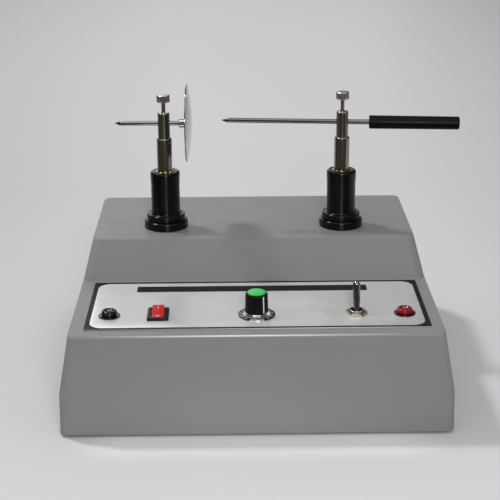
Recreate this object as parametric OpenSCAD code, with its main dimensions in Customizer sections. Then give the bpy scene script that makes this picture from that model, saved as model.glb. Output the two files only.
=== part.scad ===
// Bench induction coil: a two-tier case with a control panel on its front deck,
// two insulated electrode stands on its top deck, and the coil and its driver inside.
// Millimetres. +Z is up, -Y is the front. The origin is on the bench under the middle of the whole
// object, which reaches from the left side of the case to the free end of the handle.

/* [Case] */
// Width of the case at its foot
case_w = 290; // [270:1:320]
// Depth of the case at its foot
case_d = 270; // [250:1:290]
// Height of the upright skirt
skirt_h = 30; // [24:1:40]
// Height from the skirt up to the front deck
lower_h = 45; // [40:1:60]
// Height from the front deck up to the top deck
riser_h = 30; // [24:1:45]
// How far the skirt leans in over its height
skirt_lean = 0.4; // [0:0.1:2]
// How far each side leans in between the skirt and the front deck
lower_lean = 7.6; // [4:0.1:12]
// How far each side leans in between the front deck and the top deck
upper_lean = 7.5; // [4:0.1:12]
// Depth of the front deck, from its front edge to the foot of the riser
deck_d = 114; // [110:1:124]
// Horizontal run of the sloping riser
riser_run = 16; // [8:1:24]
// Radius of the rounded edges of the case
edge_r = 6; // [4:0.5:9]
// Wall thickness of the case
wall = 2.5; // [2:0.1:3.5]

/* [Base] */
// Thickness of the base plate
plate_t = 2; // [1.5:0.1:3]
// How far the base plate sits above the lower edge of the case
plate_recess = 1.5; // [1:0.1:4]
// Gap between the base plate and the case wall
plate_gap = 0.5; // [0.2:0.1:1]
// Height of the lower edge of the case above the bench
foot_gap = 2; // [1.5:0.1:5]
// Diameter of each rubber foot
foot_dia = 20; // [16:0.5:24]
// Distance from the foot of the wall to the middle of each corner boss
boss_in = 13; // [12:0.5:18]
// Diameter of the screw bosses inside the case
boss_dia = 10; // [8:0.5:12]
// Height of the screw bosses above the base plate
boss_h = 20; // [16:1:24]
// Shank diameter of the case screws
case_screw_dia = 3; // [2.5:0.1:4]

/* [Panel] */
// Strip of deck left bare at each side of the panel plate, on average
panel_side = 10.25; // [8:0.05:14]
// Strip of deck left bare between the panel plate and the foot of the riser
panel_back = 5.3; // [4:0.1:9]
// Thickness of the panel plate
panel_t = 0.8; // [0.5:0.1:1.5]
// Sideways place of the panel plate on the deck
panel_x = 0.8; // [-2:0.1:2]
// Distance from the front edge of the deck to the panel plate
panel_in = 11.4; // [9:0.1:13]
// Distance from the front edge of the panel plate to the row of controls
row_in = 25.6; // [23:0.1:31]
// Distance of the sockets from the ends of the panel plate
socket_in = 16.45; // [14:0.05:24]
// Distance from the black socket to the rocker switch
rocker_gap = 36.4; // [28:0.1:44]
// Distance from the red socket to the toggle switch
toggle_gap = 36; // [28:0.1:44]

/* [Sockets] */
// Bore of the plug sockets
plug_dia = 4; // [4:0.1:4.4]
// Outer diameter of the socket contacts
contact_dia = 6; // [5.6:0.1:6.6]
// Length of the socket contacts
contact_l = 18.5; // [16:0.5:24]
// Depth of the plug bore in the contact
plug_depth = 15; // [12:0.5:15.5]
// Diameter of the coloured socket heads
head_dia = 11.5; // [10.5:0.1:13]
// Height of the coloured socket heads above their washers
head_h = 3.8; // [3:0.1:5]
// Radius of the rounded top of the socket heads
head_round = 1.8; // [1:0.1:1.8]
// Width of the bevel round the mouth of the socket heads
head_mouth = 0.8; // [0.3:0.1:0.8]
// Diameter of the neck of the socket heads
neck_dia = 8; // [7.6:0.1:9]
// Diameter of the washers under the socket heads
washer_dia = 16.2; // [14:0.1:18]
// Thickness of the washers
washer_t = 1; // [0.6:0.1:1.5]
// Width across flats of the socket nuts
socket_nut_af = 9; // [8:0.5:10]
// Height of the socket nuts
socket_nut_h = 2.5; // [2:0.1:4]

/* [Rocker switch] */
// Length of the rocker frame, front to back
rocker_l = 23.2; // [22:0.1:25]
// Width of the rocker frame
rocker_w = 16; // [15:0.1:17]
// How far the rocker switch sits behind the middle of the row
rocker_back = 0.8; // [0:0.1:2]
// Height of the rocker frame above the panel
rocker_rim = 2; // [1.5:0.1:2.5]
// Length of the rocker body below the panel
rocker_body_l = 20.4; // [20:0.1:21]
// Width of the rocker body below the panel
rocker_body_w = 13; // [12.6:0.1:13.2]
// Depth of the rocker body below the panel
rocker_body_h = 14.5; // [13.5:0.5:18]
// Width of the red paddle
paddle_w = 8.9; // [8:0.1:9.6]
// Radius swept by the ends of the paddle
paddle_r = 9.1; // [8.6:0.1:9.2]
// Angle of each half of the paddle from the middle position
paddle_tilt = 12.5; // [8:0.5:14]
// Height of the hollow middle of the paddle above its pivot
paddle_rise = 2.8; // [2.2:0.1:3.4]
// Diameter of the pivot pins of the paddle
paddle_pin = 2.4; // [2:0.1:3]

/* [Knob and potentiometer] */
// Diameter of the round dial plate
dial_dia = 27.9; // [24:0.1:32]
// Thickness of the dial plate
dial_t = 0.8; // [0.5:0.1:1.5]
// How far the knob sits to the left of the middle of the panel
knob_left = 0.4; // [0:0.1:1]
// Diameter of the knob at its foot
knob_dia = 17.4; // [15:0.1:20]
// Diameter of the knob at its top
knob_top_dia = 16.6; // [14:0.1:17]
// Height of the knob without its cap
knob_h = 14.4; // [12:0.1:20]
// Gap between the dial plate and the knob
knob_gap = 2; // [1:0.1:3.4]
// Diameter of the coloured cap
cap_dia = 14.4; // [11:0.1:14.4]
// Height of the side of the cap above the knob
cap_rise = 0.8; // [0.8:0.1:2.5]
// Height of the dome of the cap
cap_dome = 0.5; // [0.3:0.1:1.5]
// Number of grip flutes round the knob
flutes = 30; // [18:1:36]
// Bearing of the pointer, clockwise from the front of the case
pointer_turn = 36.5; // [30:0.5:60]
// Width of the white pointer line
pointer_w = 0.9; // [0.6:0.1:1.5]
// Diameter of the control shaft
shaft_dia = 6; // [6:0.1:6.4]
// Outer diameter of the threaded neck of the potentiometer
pot_neck = 7.5; // [7.2:0.1:8]
// Diameter of the potentiometer body
pot_dia = 24; // [20:0.5:28]
// Height of the potentiometer body
pot_h = 9; // [8:0.5:14]
// Width across flats of the potentiometer nut
pot_nut_af = 10; // [9.5:0.5:11]

/* [Toggle switch] */
// Width across flats of the toggle nut
toggle_nut_af = 14.3; // [13.8:0.1:16]
// Height of the toggle nut
toggle_nut_h = 2.5; // [2:0.1:3.5]
// Outer diameter of the threaded neck of the toggle
toggle_neck = 11.8; // [11.4:0.1:12.2]
// Bore of the neck of the toggle
toggle_bore = 7.8; // [7.4:0.1:8.4]
// Length of the lever from its pivot to its tip
lever_l = 26; // [18:0.5:28]
// Diameter of the lever at its neck
lever_neck = 4.2; // [3:0.1:4.6]
// Diameter of the lever near its tip
lever_tip = 4.6; // [4:0.1:6]
// Lean of the lever either way from upright
lever_tilt = 13; // [8:0.5:14]

/* [Stands] */
// Distance between the two stands
stand_pitch = 144.2; // [120:0.1:160]
// Sideways place of the pair of stands
stand_x = 0.3; // [-4:0.1:4]
// Distance from the top of the riser back to the stands
stand_in = 34; // [28:0.5:60]
// Diameter of the insulator base
insulator_base = 35.6; // [30:0.1:40]
// Diameter of the insulator step
insulator_step = 31.2; // [27:0.1:34]
// Diameter of the insulator tube
insulator_tube = 23.4; // [20:0.1:25]
// Height of the insulator
insulator_h = 47.4; // [40:0.5:60]
// Diameter of the brass collar
collar_dia = 15.4; // [14:0.1:17]
// Diameter of the thick lower part of the post
post_low = 12.3; // [11.4:0.1:13]
// Diameter of the thin upper part of the post
post_high = 9.8; // [8.4:0.1:10.4]
// Height of the post's shoulder above the deck
shoulder_z = 74.9; // [66:0.1:80]
// Height of the top of the post above the deck
post_top = 95.9; // [92:0.1:110]
// Height of the rods above the deck
rod_z = 87.2; // [84:0.1:90]
// Diameter of the stud under each post
stud_dia = 6; // [5:0.1:6.6]

/* [Thumbscrews] */
// Diameter of the thumbscrew stems
stem_dia = 3.4; // [3:0.1:4]
// Length of the thumbscrew stems
stem_l = 20.2; // [19:0.1:28]
// Diameter of the knurled heads
thumb_dia = 10.5; // [9:0.1:12]
// Height of the knurled heads
thumb_h = 6; // [5:0.1:8]
// Number of knurl grooves round each head
knurls = 24; // [16:1:32]
// How far the right thumbscrew is backed off
right_backed_off = 1.4; // [0:0.1:3]

/* [Electrodes] */
// Diameter of both electrode rods
rod_dia = 4; // [3.5:0.1:4.5]
// Turn of the left post about its own axis, clockwise from above
left_aim = 1.2; // [0:0.5:8]
// Turn of the right post about its own axis, clockwise from above
right_aim = 5.2; // [0:0.5:8]
// Reach of the left point beyond its post
left_reach = 39.4; // [30:0.1:60]
// Distance from the left post to the back of the rim of the disc
disc_out = 18.2; // [16:0.1:30]
// Diameter of the disc
disc_dia = 63.2; // [50:0.1:66]
// How far the disc is dished, its hollow side to the post
dish = 3.6; // [1:0.1:5]
// Thickness of the disc
disc_t = 1; // [0.8:0.1:2]
// Diameter of the hub of the disc
hub_dia = 7.8; // [7:0.1:12]
// Length of the hub of the disc
hub_l = 9.3; // [7:0.1:10]
// Reach of the needle beyond its post
needle_reach = 97.8; // [60:0.1:99]
// Distance from the right post to the handle
handle_out = 21.6; // [18:0.1:40]
// Length of the handle
handle_l = 72.4; // [60:0.1:90]
// Diameter of the handle at the rod
handle_dia = 10.8; // [9:0.1:13]
// Diameter of the handle at its free end
handle_end_dia = 10.4; // [8.5:0.1:12]
// How far the needle goes into the handle
handle_grip = 34; // [20:1:50]
// Length of the ground points of the rods
point_l = 4.6; // [3:0.1:8]

/* [Coil] */
// Height of the coil axis above the bench
coil_z = 48; // [44:0.5:52]
// Distance from the stands back to the coil axis
coil_in = 26; // [20:0.5:34]
// Diameter of the bundle of iron wires
core_dia = 15; // [12:0.5:17]
// Length of the bundle of iron wires
core_l = 184; // [174:1:200]
// Diameter of one iron wire
wire_dia = 3; // [2.5:0.1:3.2]
// Length of winding between the end cheeks
winding_l = 144; // [120:1:150]
// Outer diameter of the primary winding
primary_dia = 22; // [20:0.1:23]
// Outer diameter of the insulating tube
tube_dia = 26; // [25:0.1:28]
// Wall of the insulating tube
tube_wall = 1.8; // [1.2:0.1:1.9]
// Outer diameter of the secondary sections
secondary_dia = 52; // [44:0.5:56]
// Diameter of the insulating discs between the sections
section_disc_dia = 58; // [57:0.5:62]
// Thickness of the insulating discs
section_disc_t = 2; // [1:0.1:3]
// Number of secondary sections
sections = 8; // [4:1:10]
// Thickness of the end cheeks
cheek_t = 6; // [5:0.5:8]
// Width of the end cheeks
cheek_w = 66; // [64:1:72]
// Thickness of the leads from the coil to the stands
lead_dia = 2; // [1.5:0.1:2.1]

/* [Driver] */
// Length of the driver board
board_l = 104; // [90:1:110]
// Width of the driver board
board_w = 58; // [50:1:64]
// Thickness of the driver board
board_t = 1.6; // [1.2:0.1:2]
// Height of the posts under the driver board
board_post_h = 8; // [6:0.5:12]
// Length of the heat sink
sink_l = 72; // [50:1:80]
// Depth of the heat sink
sink_d = 36; // [30:1:44]
// Height of the heat sink
sink_h = 30; // [24:1:34]
// Number of fins on the heat sink
fins = 9; // [5:1:11]
// Diameter of the capacitor
capacitor_dia = 16; // [12:0.5:18]
// Height of the capacitor
capacitor_h = 26; // [20:0.5:30]

/* [Hidden] */

// Smoothness of turned parts, and of the corners that the case is stretched over
$fn = 64;
corner_fn = 32;
// Clearance between a shaft and its hole, on the radius
running = 0.05;
// Clearance round pieces dropped into a cut-out, per side
cutout_gap = 0.2;
// Overshoot of cutting shapes
over = 1;
// Thickness of the discs that a case outline is stretched between
slice_t = 0.2;

// Levels above the bench
edge_z = foot_gap;
kink_z = edge_z + skirt_h;
deck_z = kink_z + lower_h;
top_z = deck_z + riser_h;
plate_z = edge_z + plate_recess;
floor_z = plate_z + plate_t;
panel_z = deck_z + panel_t;
lid_under_z = deck_z - wall;
roof_under_z = top_z - wall;

// Places on the case
kink_half_w = case_w / 2 - skirt_lean;
kink_half_d = case_d / 2 - skirt_lean;
deck_half_w = kink_half_w - lower_lean;
deck_half_d = kink_half_d - lower_lean;
top_half_w = deck_half_w - upper_lean;
top_back_y = deck_half_d - upper_lean;
riser_y = -deck_half_d + deck_d;
boss_x = case_w / 2 - boss_in;
boss_y = case_d / 2 - boss_in;
panel_w = 2 * (deck_half_w - panel_side);
panel_d = deck_d - panel_in - panel_back;
socket_x = panel_w / 2 - socket_in;
panel_y = -deck_half_d + panel_in + panel_d / 2;
row_y = -deck_half_d + panel_in + row_in;
black_x = panel_x - socket_x;
red_x = panel_x + socket_x;
rocker_x = black_x + rocker_gap;
rocker_y = row_y + rocker_back;
toggle_x = red_x - toggle_gap;
knob_x = panel_x - knob_left;
stand_y = riser_y + riser_run + stand_in;
left_x = stand_x - stand_pitch / 2;
right_x = stand_x + stand_pitch / 2;
rod_level = top_z + rod_z;
coil_y = stand_y + coil_in;

// Sideways place of the case: half of what the handle reaches beyond it
handle_round = 1.6;
handle_far = right_x + (handle_out + handle_l - handle_round) * cos(right_aim)
    + (handle_end_dia / 2 - handle_round) * sin(right_aim) + handle_round;
case_x = -(handle_far - case_w / 2) / 2;

// Screws
pilot_dia = case_screw_dia + 2 * running;
clear_dia = case_screw_dia + 0.4;
screw_head_dia = 2 * case_screw_dia;
screw_head_h = 1.5;
screw_grip = 9;
foot_pocket_h = 2;
foot_pocket_dia = screw_head_dia + 2;

// Thumbscrews: the stem just touches the rod when it is screwed home
stem_foot_z = rod_level + rod_dia / 2 + running;
thread_pitch = 0.7;

// ---------------------------------------------------------------- helpers

// Points of an arc from angle a to angle b
function arc(c, r, a, b, n = 6) =
    [for (i = [0:n]) c + r * [cos(a + (b - a) * i / n), sin(a + (b - a) * i / n)]];

// Distance from a sharp top corner to the middle of the ball that rounds it
function ball_inset(r, lean, h) = r / cos(atan(lean / h)) - r * lean / h;

// A turned piece: outline points are [radius, height]
module turned(points) {
    rotate_extrude() polygon(points);
}

// A ball with true poles, for rounding the case
module ball(r) {
    rotate_extrude($fn = corner_fn) polygon(arc([0, 0], r, -90, 90, corner_fn / 2));
}

// A thin upright disc, for the corners of the case
module slice(r) {
    cylinder(r = r, h = slice_t, $fn = corner_fn);
}

// A ring or washer standing on its own origin
module ring(outer, inner, h) {
    difference() {
        cylinder(d = outer, h = h);
        translate([0, 0, -over]) cylinder(d = inner, h = h + 2 * over);
    }
}

// A hexagon nut with its corners turned off
module hex_nut(flats, h, bore) {
    corner = flats / cos(30);
    bevel = (corner - flats) / 2;
    difference() {
        intersection() {
            cylinder(d = corner, h = h, $fn = 6);
            turned([[0, 0], [corner / 2, 0], [corner / 2, h - bevel / 2],
                    [corner / 2 - bevel, h], [0, h]]);
        }
        translate([0, 0, -over]) cylinder(d = bore, h = h + 2 * over);
    }
}

// A screw seen from its head: the head hangs below its seat and the shank goes up
module screw_up(grip) {
    difference() {
        union() {
            turned([[0, -screw_head_h], [screw_head_dia / 2 - 0.6, -screw_head_h],
                    [screw_head_dia / 2, -screw_head_h + 0.6], [screw_head_dia / 2, 0], [0, 0]]);
            cylinder(d = case_screw_dia, h = grip);
        }
        translate([-screw_head_dia / 2, -0.4, -screw_head_h - over])
            cube([screw_head_dia, 0.8, 0.6 + over]);
    }
}

// A straight round wire from point a to point b
module wire(a, b, dia) {
    step = b - a;
    translate(a) rotate([0, acos(step[2] / norm(step)), atan2(step[1], step[0])])
        cylinder(d = dia, h = norm(step));
}

// A flat plate with round corners
module rounded_plate(w, d, h, r) {
    linear_extrude(h) {
        square([w - 2 * r, d], center = true);
        square([w, d - 2 * r], center = true);
        for (x = [-1, 1], y = [-1, 1])
            translate([x * (w / 2 - r), y * (d / 2 - r)]) circle(r);
    }
}

// Move the children, drawn about the middle of the case, to their place in the whole object
module in_place() {
    translate([case_x, 0, 0]) children();
}

// Put the children at the four corner bosses
module at_corners() {
    for (x = [-boss_x, boss_x], y = [-boss_y, boss_y]) translate([x, y, 0]) children();
}

// Put the children at the two bosses in the middle of the front and the back
module at_middles() {
    for (y = [-boss_y, boss_y]) translate([0, y, 0]) children();
}

// Put the children at both stands, on the top deck
module at_stands() {
    for (x = [left_x, right_x]) translate([x, stand_y, top_z]) children();
}

// ---------------------------------------------------------------- case

// The outline of the two-tier case, t inside its outer faces
module case_form(t) {
    r = edge_r - t;
    low_z = edge_z - (t > 0 ? over : 0);
    shoulder = deck_z - t - r;
    side_in = t + ball_inset(r, lower_lean, lower_h);
    top_in = t + ball_inset(r, upper_lean, riser_h);
    riser_in = t + ball_inset(r, riser_run, riser_h);
    // half width and half depth at the shoulder, where the upper tier grows out of the lower
    grow = lower_lean * (deck_z - shoulder) / lower_h;
    hull() {
        for (x = [-1, 1], y = [-1, 1]) {
            translate([x * (case_w / 2 - t - r), y * (case_d / 2 - t - r), low_z]) slice(r);
            translate([x * (kink_half_w - t - r), y * (kink_half_d - t - r), kink_z - slice_t])
                slice(r);
            translate([x * (deck_half_w - side_in), y * (deck_half_d - side_in), shoulder])
                ball(r);
        }
    }
    hull() {
        for (x = [-1, 1]) {
            translate([x * (deck_half_w + grow - t - r), deck_half_d + grow - t - r, shoulder])
                slice(r);
            translate([x * (deck_half_w + grow - t - r),
                       riser_y - riser_run * (deck_z - shoulder) / riser_h + t + r, shoulder])
                slice(r);
            translate([x * (deck_half_w - t - r), deck_half_d - t - r, deck_z - slice_t])
                slice(r);
            translate([x * (deck_half_w - t - r), riser_y + t + r, deck_z - slice_t])
                slice(r);
            translate([x * (top_half_w - top_in), top_back_y - top_in, top_z - t - r])
                ball(r);
            translate([x * (top_half_w - top_in), riser_y + riser_run + riser_in, top_z - t - r])
                ball(r);
        }
    }
}

// The cut-outs for the controls, through the deck and the panel plate
module control_holes() {
    low = lid_under_z - over;
    h = wall + panel_t + 2 * over;
    for (x = [black_x, red_x])
        translate([x, row_y, low]) cylinder(d = neck_dia + cutout_gap, h = h);
    translate([knob_x, row_y, low]) cylinder(d = pot_neck + cutout_gap, h = h);
    translate([toggle_x, row_y, low]) cylinder(d = toggle_neck + cutout_gap, h = h);
    translate([rocker_x, rocker_y, low + h / 2])
        cube([rocker_body_w + 2 * cutout_gap, rocker_body_l + 2 * cutout_gap, h], center = true);
}

// A screw boss and the web that ties it to the wall beside it
module boss(toward) {
    reach = boss_in - wall / 2;
    cylinder(d = boss_dia, h = boss_h);
    rotate([0, 0, toward]) translate([0, -wall / 2, 0]) cube([reach, wall, boss_h]);
}

module case_cover() {
    color([0.52, 0.53, 0.52])
    difference() {
        union() {
            difference() {
                case_form(0);
                case_form(wall);
            }
            for (x = [-1, 1], y = [-1, 1])
                translate([x * boss_x, y * boss_y, floor_z]) {
                    boss(x > 0 ? 0 : 180);
                    boss(y * 90);
                }
            for (y = [-1, 1]) translate([0, y * boss_y, floor_z]) boss(y * 90);
        }
        control_holes();
        at_stands() translate([0, 0, -wall - over])
            cylinder(d = stud_dia + 2 * cutout_gap, h = wall + 2 * over);
        translate([0, 0, floor_z - over]) {
            at_corners() cylinder(d = pilot_dia, h = screw_grip + 3 + over);
            at_middles() cylinder(d = pilot_dia, h = screw_grip + 3 + over);
        }
    }
}

module base_plate() {
    color([0.25, 0.25, 0.26])
    difference() {
        translate([0, 0, plate_z])
            rounded_plate(case_w - 2 * (wall + plate_gap), case_d - 2 * (wall + plate_gap),
                          plate_t, edge_r - wall);
        translate([0, 0, plate_z - over]) {
            at_corners() cylinder(d = clear_dia, h = plate_t + 2 * over);
            at_middles() cylinder(d = clear_dia, h = plate_t + 2 * over);
            at_cheek_screws() cylinder(d = clear_dia, h = plate_t + 2 * over);
            at_board_posts() cylinder(d = clear_dia, h = plate_t + 2 * over);
        }
    }
}

module feet() {
    color([0.09, 0.09, 0.09])
    at_corners() difference() {
        turned([[0, 0], [foot_dia / 2 - 1, 0], [foot_dia / 2, 1],
                [foot_dia / 2, plate_z], [0, plate_z]]);
        translate([0, 0, -over]) cylinder(d = foot_pocket_dia, h = foot_pocket_h + over);
        cylinder(d = clear_dia, h = plate_z + over);
    }
}

module foot_screws() {
    color([0.7, 0.7, 0.7])
    at_corners() translate([0, 0, foot_pocket_h])
        screw_up(floor_z - foot_pocket_h + screw_grip);
}

module base_screws() {
    color([0.7, 0.7, 0.7])
    at_middles() translate([0, 0, plate_z]) screw_up(plate_t + screw_grip);
}

// ---------------------------------------------------------------- panel and sockets

module panel_plate() {
    color([0.78, 0.79, 0.79])
    difference() {
        translate([panel_x, panel_y, deck_z + panel_t / 2])
            cube([panel_w, panel_d, panel_t], center = true);
        control_holes();
    }
}

module socket_head(x) {
    head_z = panel_z + washer_t;
    r = head_dia / 2;
    bore = contact_dia / 2 + running;
    neck_l = washer_t + panel_t + wall - cutout_gap;
    translate([x, row_y, head_z])
        turned(concat([[bore, -neck_l], [neck_dia / 2, -neck_l], [neck_dia / 2, 0], [r, 0]],
                      arc([r - head_round, head_h - head_round], head_round, 0, 90),
                      [[bore + head_mouth, head_h], [bore, head_h - head_mouth]]));
}

module black_socket() {
    color([0.06, 0.06, 0.06]) socket_head(black_x);
}

module red_socket() {
    color([0.65, 0.05, 0.08]) socket_head(red_x);
}

module socket_contact(x) {
    mouth = panel_z + washer_t + head_h - 0.6;
    tail_dia = 2.4;
    tail_l = 5;
    translate([x, row_y, mouth - contact_l])
    difference() {
        union() {
            cylinder(d = contact_dia, h = contact_l);
            translate([0, 0, -tail_l]) cylinder(d = tail_dia, h = tail_l + over);
        }
        translate([0, 0, contact_l - plug_depth]) cylinder(d = plug_dia, h = plug_depth + over);
    }
}

module black_contact() {
    color([0.8, 0.72, 0.45]) socket_contact(black_x);
}

module red_contact() {
    color([0.8, 0.72, 0.45]) socket_contact(red_x);
}

// One washer under each head and one against the underside of the deck
module socket_washers() {
    color([0.08, 0.08, 0.08])
    for (x = [black_x, red_x]) translate([x, row_y, 0]) {
        translate([0, 0, panel_z]) ring(washer_dia, neck_dia + cutout_gap, washer_t);
        translate([0, 0, lid_under_z - washer_t])
            ring(washer_dia, contact_dia + 2 * running, washer_t);
    }
}

module socket_nuts() {
    color([0.8, 0.8, 0.78])
    for (x = [black_x, red_x])
        translate([x, row_y, lid_under_z - washer_t - socket_nut_h])
            hex_nut(socket_nut_af, socket_nut_h, contact_dia + 2 * running);
}

// ---------------------------------------------------------------- rocker switch

pivot_z = panel_z - 0.3;
well_l = 2 * paddle_r + 0.4;
well_w = paddle_w + 0.4;
well_floor = panel_z - 9;

module rocker_frame() {
    color([0.07, 0.07, 0.07])
    translate([rocker_x, rocker_y, 0])
    difference() {
        union() {
            translate([0, 0, panel_z]) rounded_plate(rocker_w, rocker_l, rocker_rim - 0.5, 1.2);
            translate([0, 0, panel_z + rocker_rim - 0.5])
                rounded_plate(rocker_w - 1, rocker_l - 1, 0.5, 0.8);
            translate([-rocker_body_w / 2, -rocker_body_l / 2, panel_z - rocker_body_h])
                cube([rocker_body_w, rocker_body_l, rocker_body_h + 0.5]);
        }
        translate([-well_w / 2, -well_l / 2, well_floor])
            cube([well_w, well_l, panel_z + rocker_rim - well_floor + over]);
        translate([0, 0, pivot_z]) rotate([0, 90, 0])
            cylinder(d = paddle_pin + 2 * running, h = rocker_body_w + 0.2, center = true);
    }
}

// Side outline of the paddle in its middle position: [along, up] from the pivot
module paddle_outline() {
    rise = paddle_r * tan(paddle_tilt);
    intersection() {
        circle(paddle_r);
        polygon([[-paddle_r, paddle_rise + rise], [0, paddle_rise], [paddle_r, paddle_rise + rise],
                 [paddle_r, -1.5], [3.5, -5], [-3.5, -5], [-paddle_r, -1.5]]);
    }
}

module rocker_paddle() {
    pin_reach = rocker_body_w / 2 - 0.3;
    color([0.8, 0.08, 0.08])
    translate([rocker_x, rocker_y, pivot_z]) rotate([paddle_tilt, 0, 0]) {
        rotate([90, 0, 90]) linear_extrude(paddle_w, center = true) paddle_outline();
        rotate([0, 90, 0]) cylinder(d = paddle_pin, h = 2 * pin_reach, center = true);
    }
}

module rocker_tabs() {
    tab_w = 4.8;
    tab_t = 0.8;
    tab_l = 7.5;
    spacing = 6.5;
    color([0.8, 0.72, 0.45])
    for (i = [-1, 0, 1])
        translate([rocker_x, rocker_y + i * spacing, panel_z - rocker_body_h - tab_l / 2])
        difference() {
            cube([tab_w, tab_t, tab_l], center = true);
            translate([0, 0, -tab_l / 4]) rotate([90, 0, 0])
                cylinder(d = 1.6, h = 2 * tab_t, center = true);
        }
}

// ---------------------------------------------------------------- knob and potentiometer

knob_z = panel_z + dial_t + knob_gap;
neck_top = panel_z + dial_t + 5;
knob_hollow_h = neck_top + 0.8 - knob_z;
// Depth of the seat of the cap in the knob
cap_seat = 1.5;

module dial_plate() {
    color([0.08, 0.08, 0.08])
    translate([knob_x, row_y, panel_z]) ring(dial_dia, pot_neck + cutout_gap, dial_t);
}

module pot_body() {
    bottom = 2;
    color([0.72, 0.72, 0.7])
    translate([knob_x, row_y, lid_under_z - pot_h])
    difference() {
        union() {
            cylinder(d = pot_dia, h = pot_h - 0.8);
            cylinder(d = pot_dia - 3, h = pot_h);
            cylinder(d = pot_neck, h = neck_top - lid_under_z + pot_h);
            translate([-8, -pot_dia / 2 - 3, 1]) cube([16, pot_dia / 2, 2.5]);
        }
        translate([0, 0, bottom])
            cylinder(d = shaft_dia + 2 * running, h = neck_top - lid_under_z + pot_h);
    }
}

module pot_tabs() {
    tab_w = 2;
    tab_l = 7;
    spacing = 5;
    color([0.8, 0.72, 0.45])
    for (i = [-1, 0, 1])
        translate([knob_x + i * spacing - tab_w / 2, row_y - pot_dia / 2 - 3 - tab_l,
                   lid_under_z - pot_h + 1.8])
            cube([tab_w, tab_l, 0.8]);
}

module pot_nut() {
    color([0.8, 0.8, 0.78])
    translate([knob_x, row_y, panel_z + dial_t])
        hex_nut(pot_nut_af, 2.4, pot_neck + 2 * running);
}

module pot_shaft() {
    foot_z = lid_under_z - pot_h + 2.2;
    color([0.78, 0.78, 0.76])
    translate([knob_x, row_y, foot_z]) cylinder(d = shaft_dia, h = knob_z + knob_h - 4 - foot_z);
}

// The line down the side of the knob and a little way across its rim
module pointer_bar() {
    r0 = knob_dia / 2;
    r1 = knob_top_dia / 2;
    intersection() {
        difference() {
            turned([[0, 0.8], [r0 + 0.1, 0.8], [r1 + 0.1, knob_h - 0.8], [r1 - 0.7, knob_h],
                    [0, knob_h]]);
            turned([[0, 0], [r0 - 0.9, 0], [r1 - 0.9, knob_h + over], [0, knob_h + over]]);
        }
        rotate([0, 0, -90 + pointer_turn])
            translate([0, -pointer_w / 2, 0]) cube([knob_dia, pointer_w, knob_h]);
    }
}

module knob() {
    r0 = knob_dia / 2;
    r1 = knob_top_dia / 2;
    flute_r = 0.45;
    taper = atan((r0 - r1) / knob_h);
    color([0.06, 0.06, 0.06])
    translate([knob_x, row_y, knob_z])
    difference() {
        turned([[0, 0], [r0 - 0.3, 0], [r0, 0.3], [r1, knob_h - 0.8], [r1 - 0.8, knob_h], [0, knob_h]]);
        translate([0, 0, -over]) cylinder(d = knob_dia - 3, h = knob_hollow_h + over);
        cylinder(d = shaft_dia + 2 * running, h = knob_h - 4);
        translate([0, 0, knob_h - cap_seat]) cylinder(d = cap_dia, h = cap_seat + over);
        for (i = [1:flutes - 1])
            rotate([0, 0, -90 + pointer_turn + i * 360 / flutes])
                translate([r0 + 0.15, 0, 0]) rotate([0, -taper, 0])
                    translate([0, 0, -over]) cylinder(r = flute_r, h = knob_h - 0.8, $fn = 16);
        pointer_bar();
    }
}

module knob_cap() {
    r = cap_dia / 2;
    bevel = 0.4;
    top_r = r - bevel;
    // radius of the dome that rises cap_dome over the cap
    dome_r = (top_r * top_r + cap_dome * cap_dome) / (2 * cap_dome);
    edge = asin(top_r / dome_r);
    color([0.15, 0.72, 0.3])
    translate([knob_x, row_y, knob_z + knob_h - cap_seat])
        turned(concat([[0, 0], [r, 0], [r, cap_seat + cap_rise - bevel]],
                      arc([0, cap_seat + cap_rise + cap_dome - dome_r], dome_r, 90 - edge, 90, 8)));
}

module knob_pointer() {
    color([0.95, 0.95, 0.95]) translate([knob_x, row_y, knob_z]) pointer_bar();
}

// ---------------------------------------------------------------- toggle switch

toggle_pivot = panel_z - 1.3;
back_nut_h = 2.5;
toggle_top = panel_z + toggle_nut_h + 1.4;
toggle_box_top = lid_under_z - back_nut_h;
toggle_box_h = 18;
lever_ball = toggle_bore - 0.2;

module toggle_body() {
    box_w = 15;
    box_l = 29;
    color([0.12, 0.12, 0.13])
    translate([toggle_x, row_y, 0])
    difference() {
        union() {
            translate([-box_w / 2, -box_l / 2, toggle_box_top - toggle_box_h])
                cube([box_w, box_l, toggle_box_h]);
            translate([0, 0, toggle_box_top])
                cylinder(d = toggle_neck, h = toggle_top - toggle_box_top);
        }
        translate([0, 0, toggle_pivot - lever_ball / 2 - 6])
            cylinder(d = toggle_bore, h = toggle_top + over - toggle_pivot + lever_ball / 2 + 6);
    }
}

// Six tabs: the switch turns the supply of the coil round
module toggle_tabs() {
    tab_l = 6;
    color([0.8, 0.72, 0.45])
    for (x = [-4, 4], y = [-9.5, 0, 9.5])
        translate([toggle_x + x, row_y + y, toggle_box_top - toggle_box_h - tab_l / 2])
            cube([0.8, 4, tab_l], center = true);
}

module toggle_nut() {
    color([0.82, 0.8, 0.75])
    translate([toggle_x, row_y, panel_z])
        hex_nut(toggle_nut_af, toggle_nut_h, toggle_neck + 2 * running);
}

module toggle_back_nut() {
    color([0.82, 0.8, 0.75])
    translate([toggle_x, row_y, toggle_box_top])
        hex_nut(toggle_nut_af, back_nut_h, toggle_neck + 2 * running);
}

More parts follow.
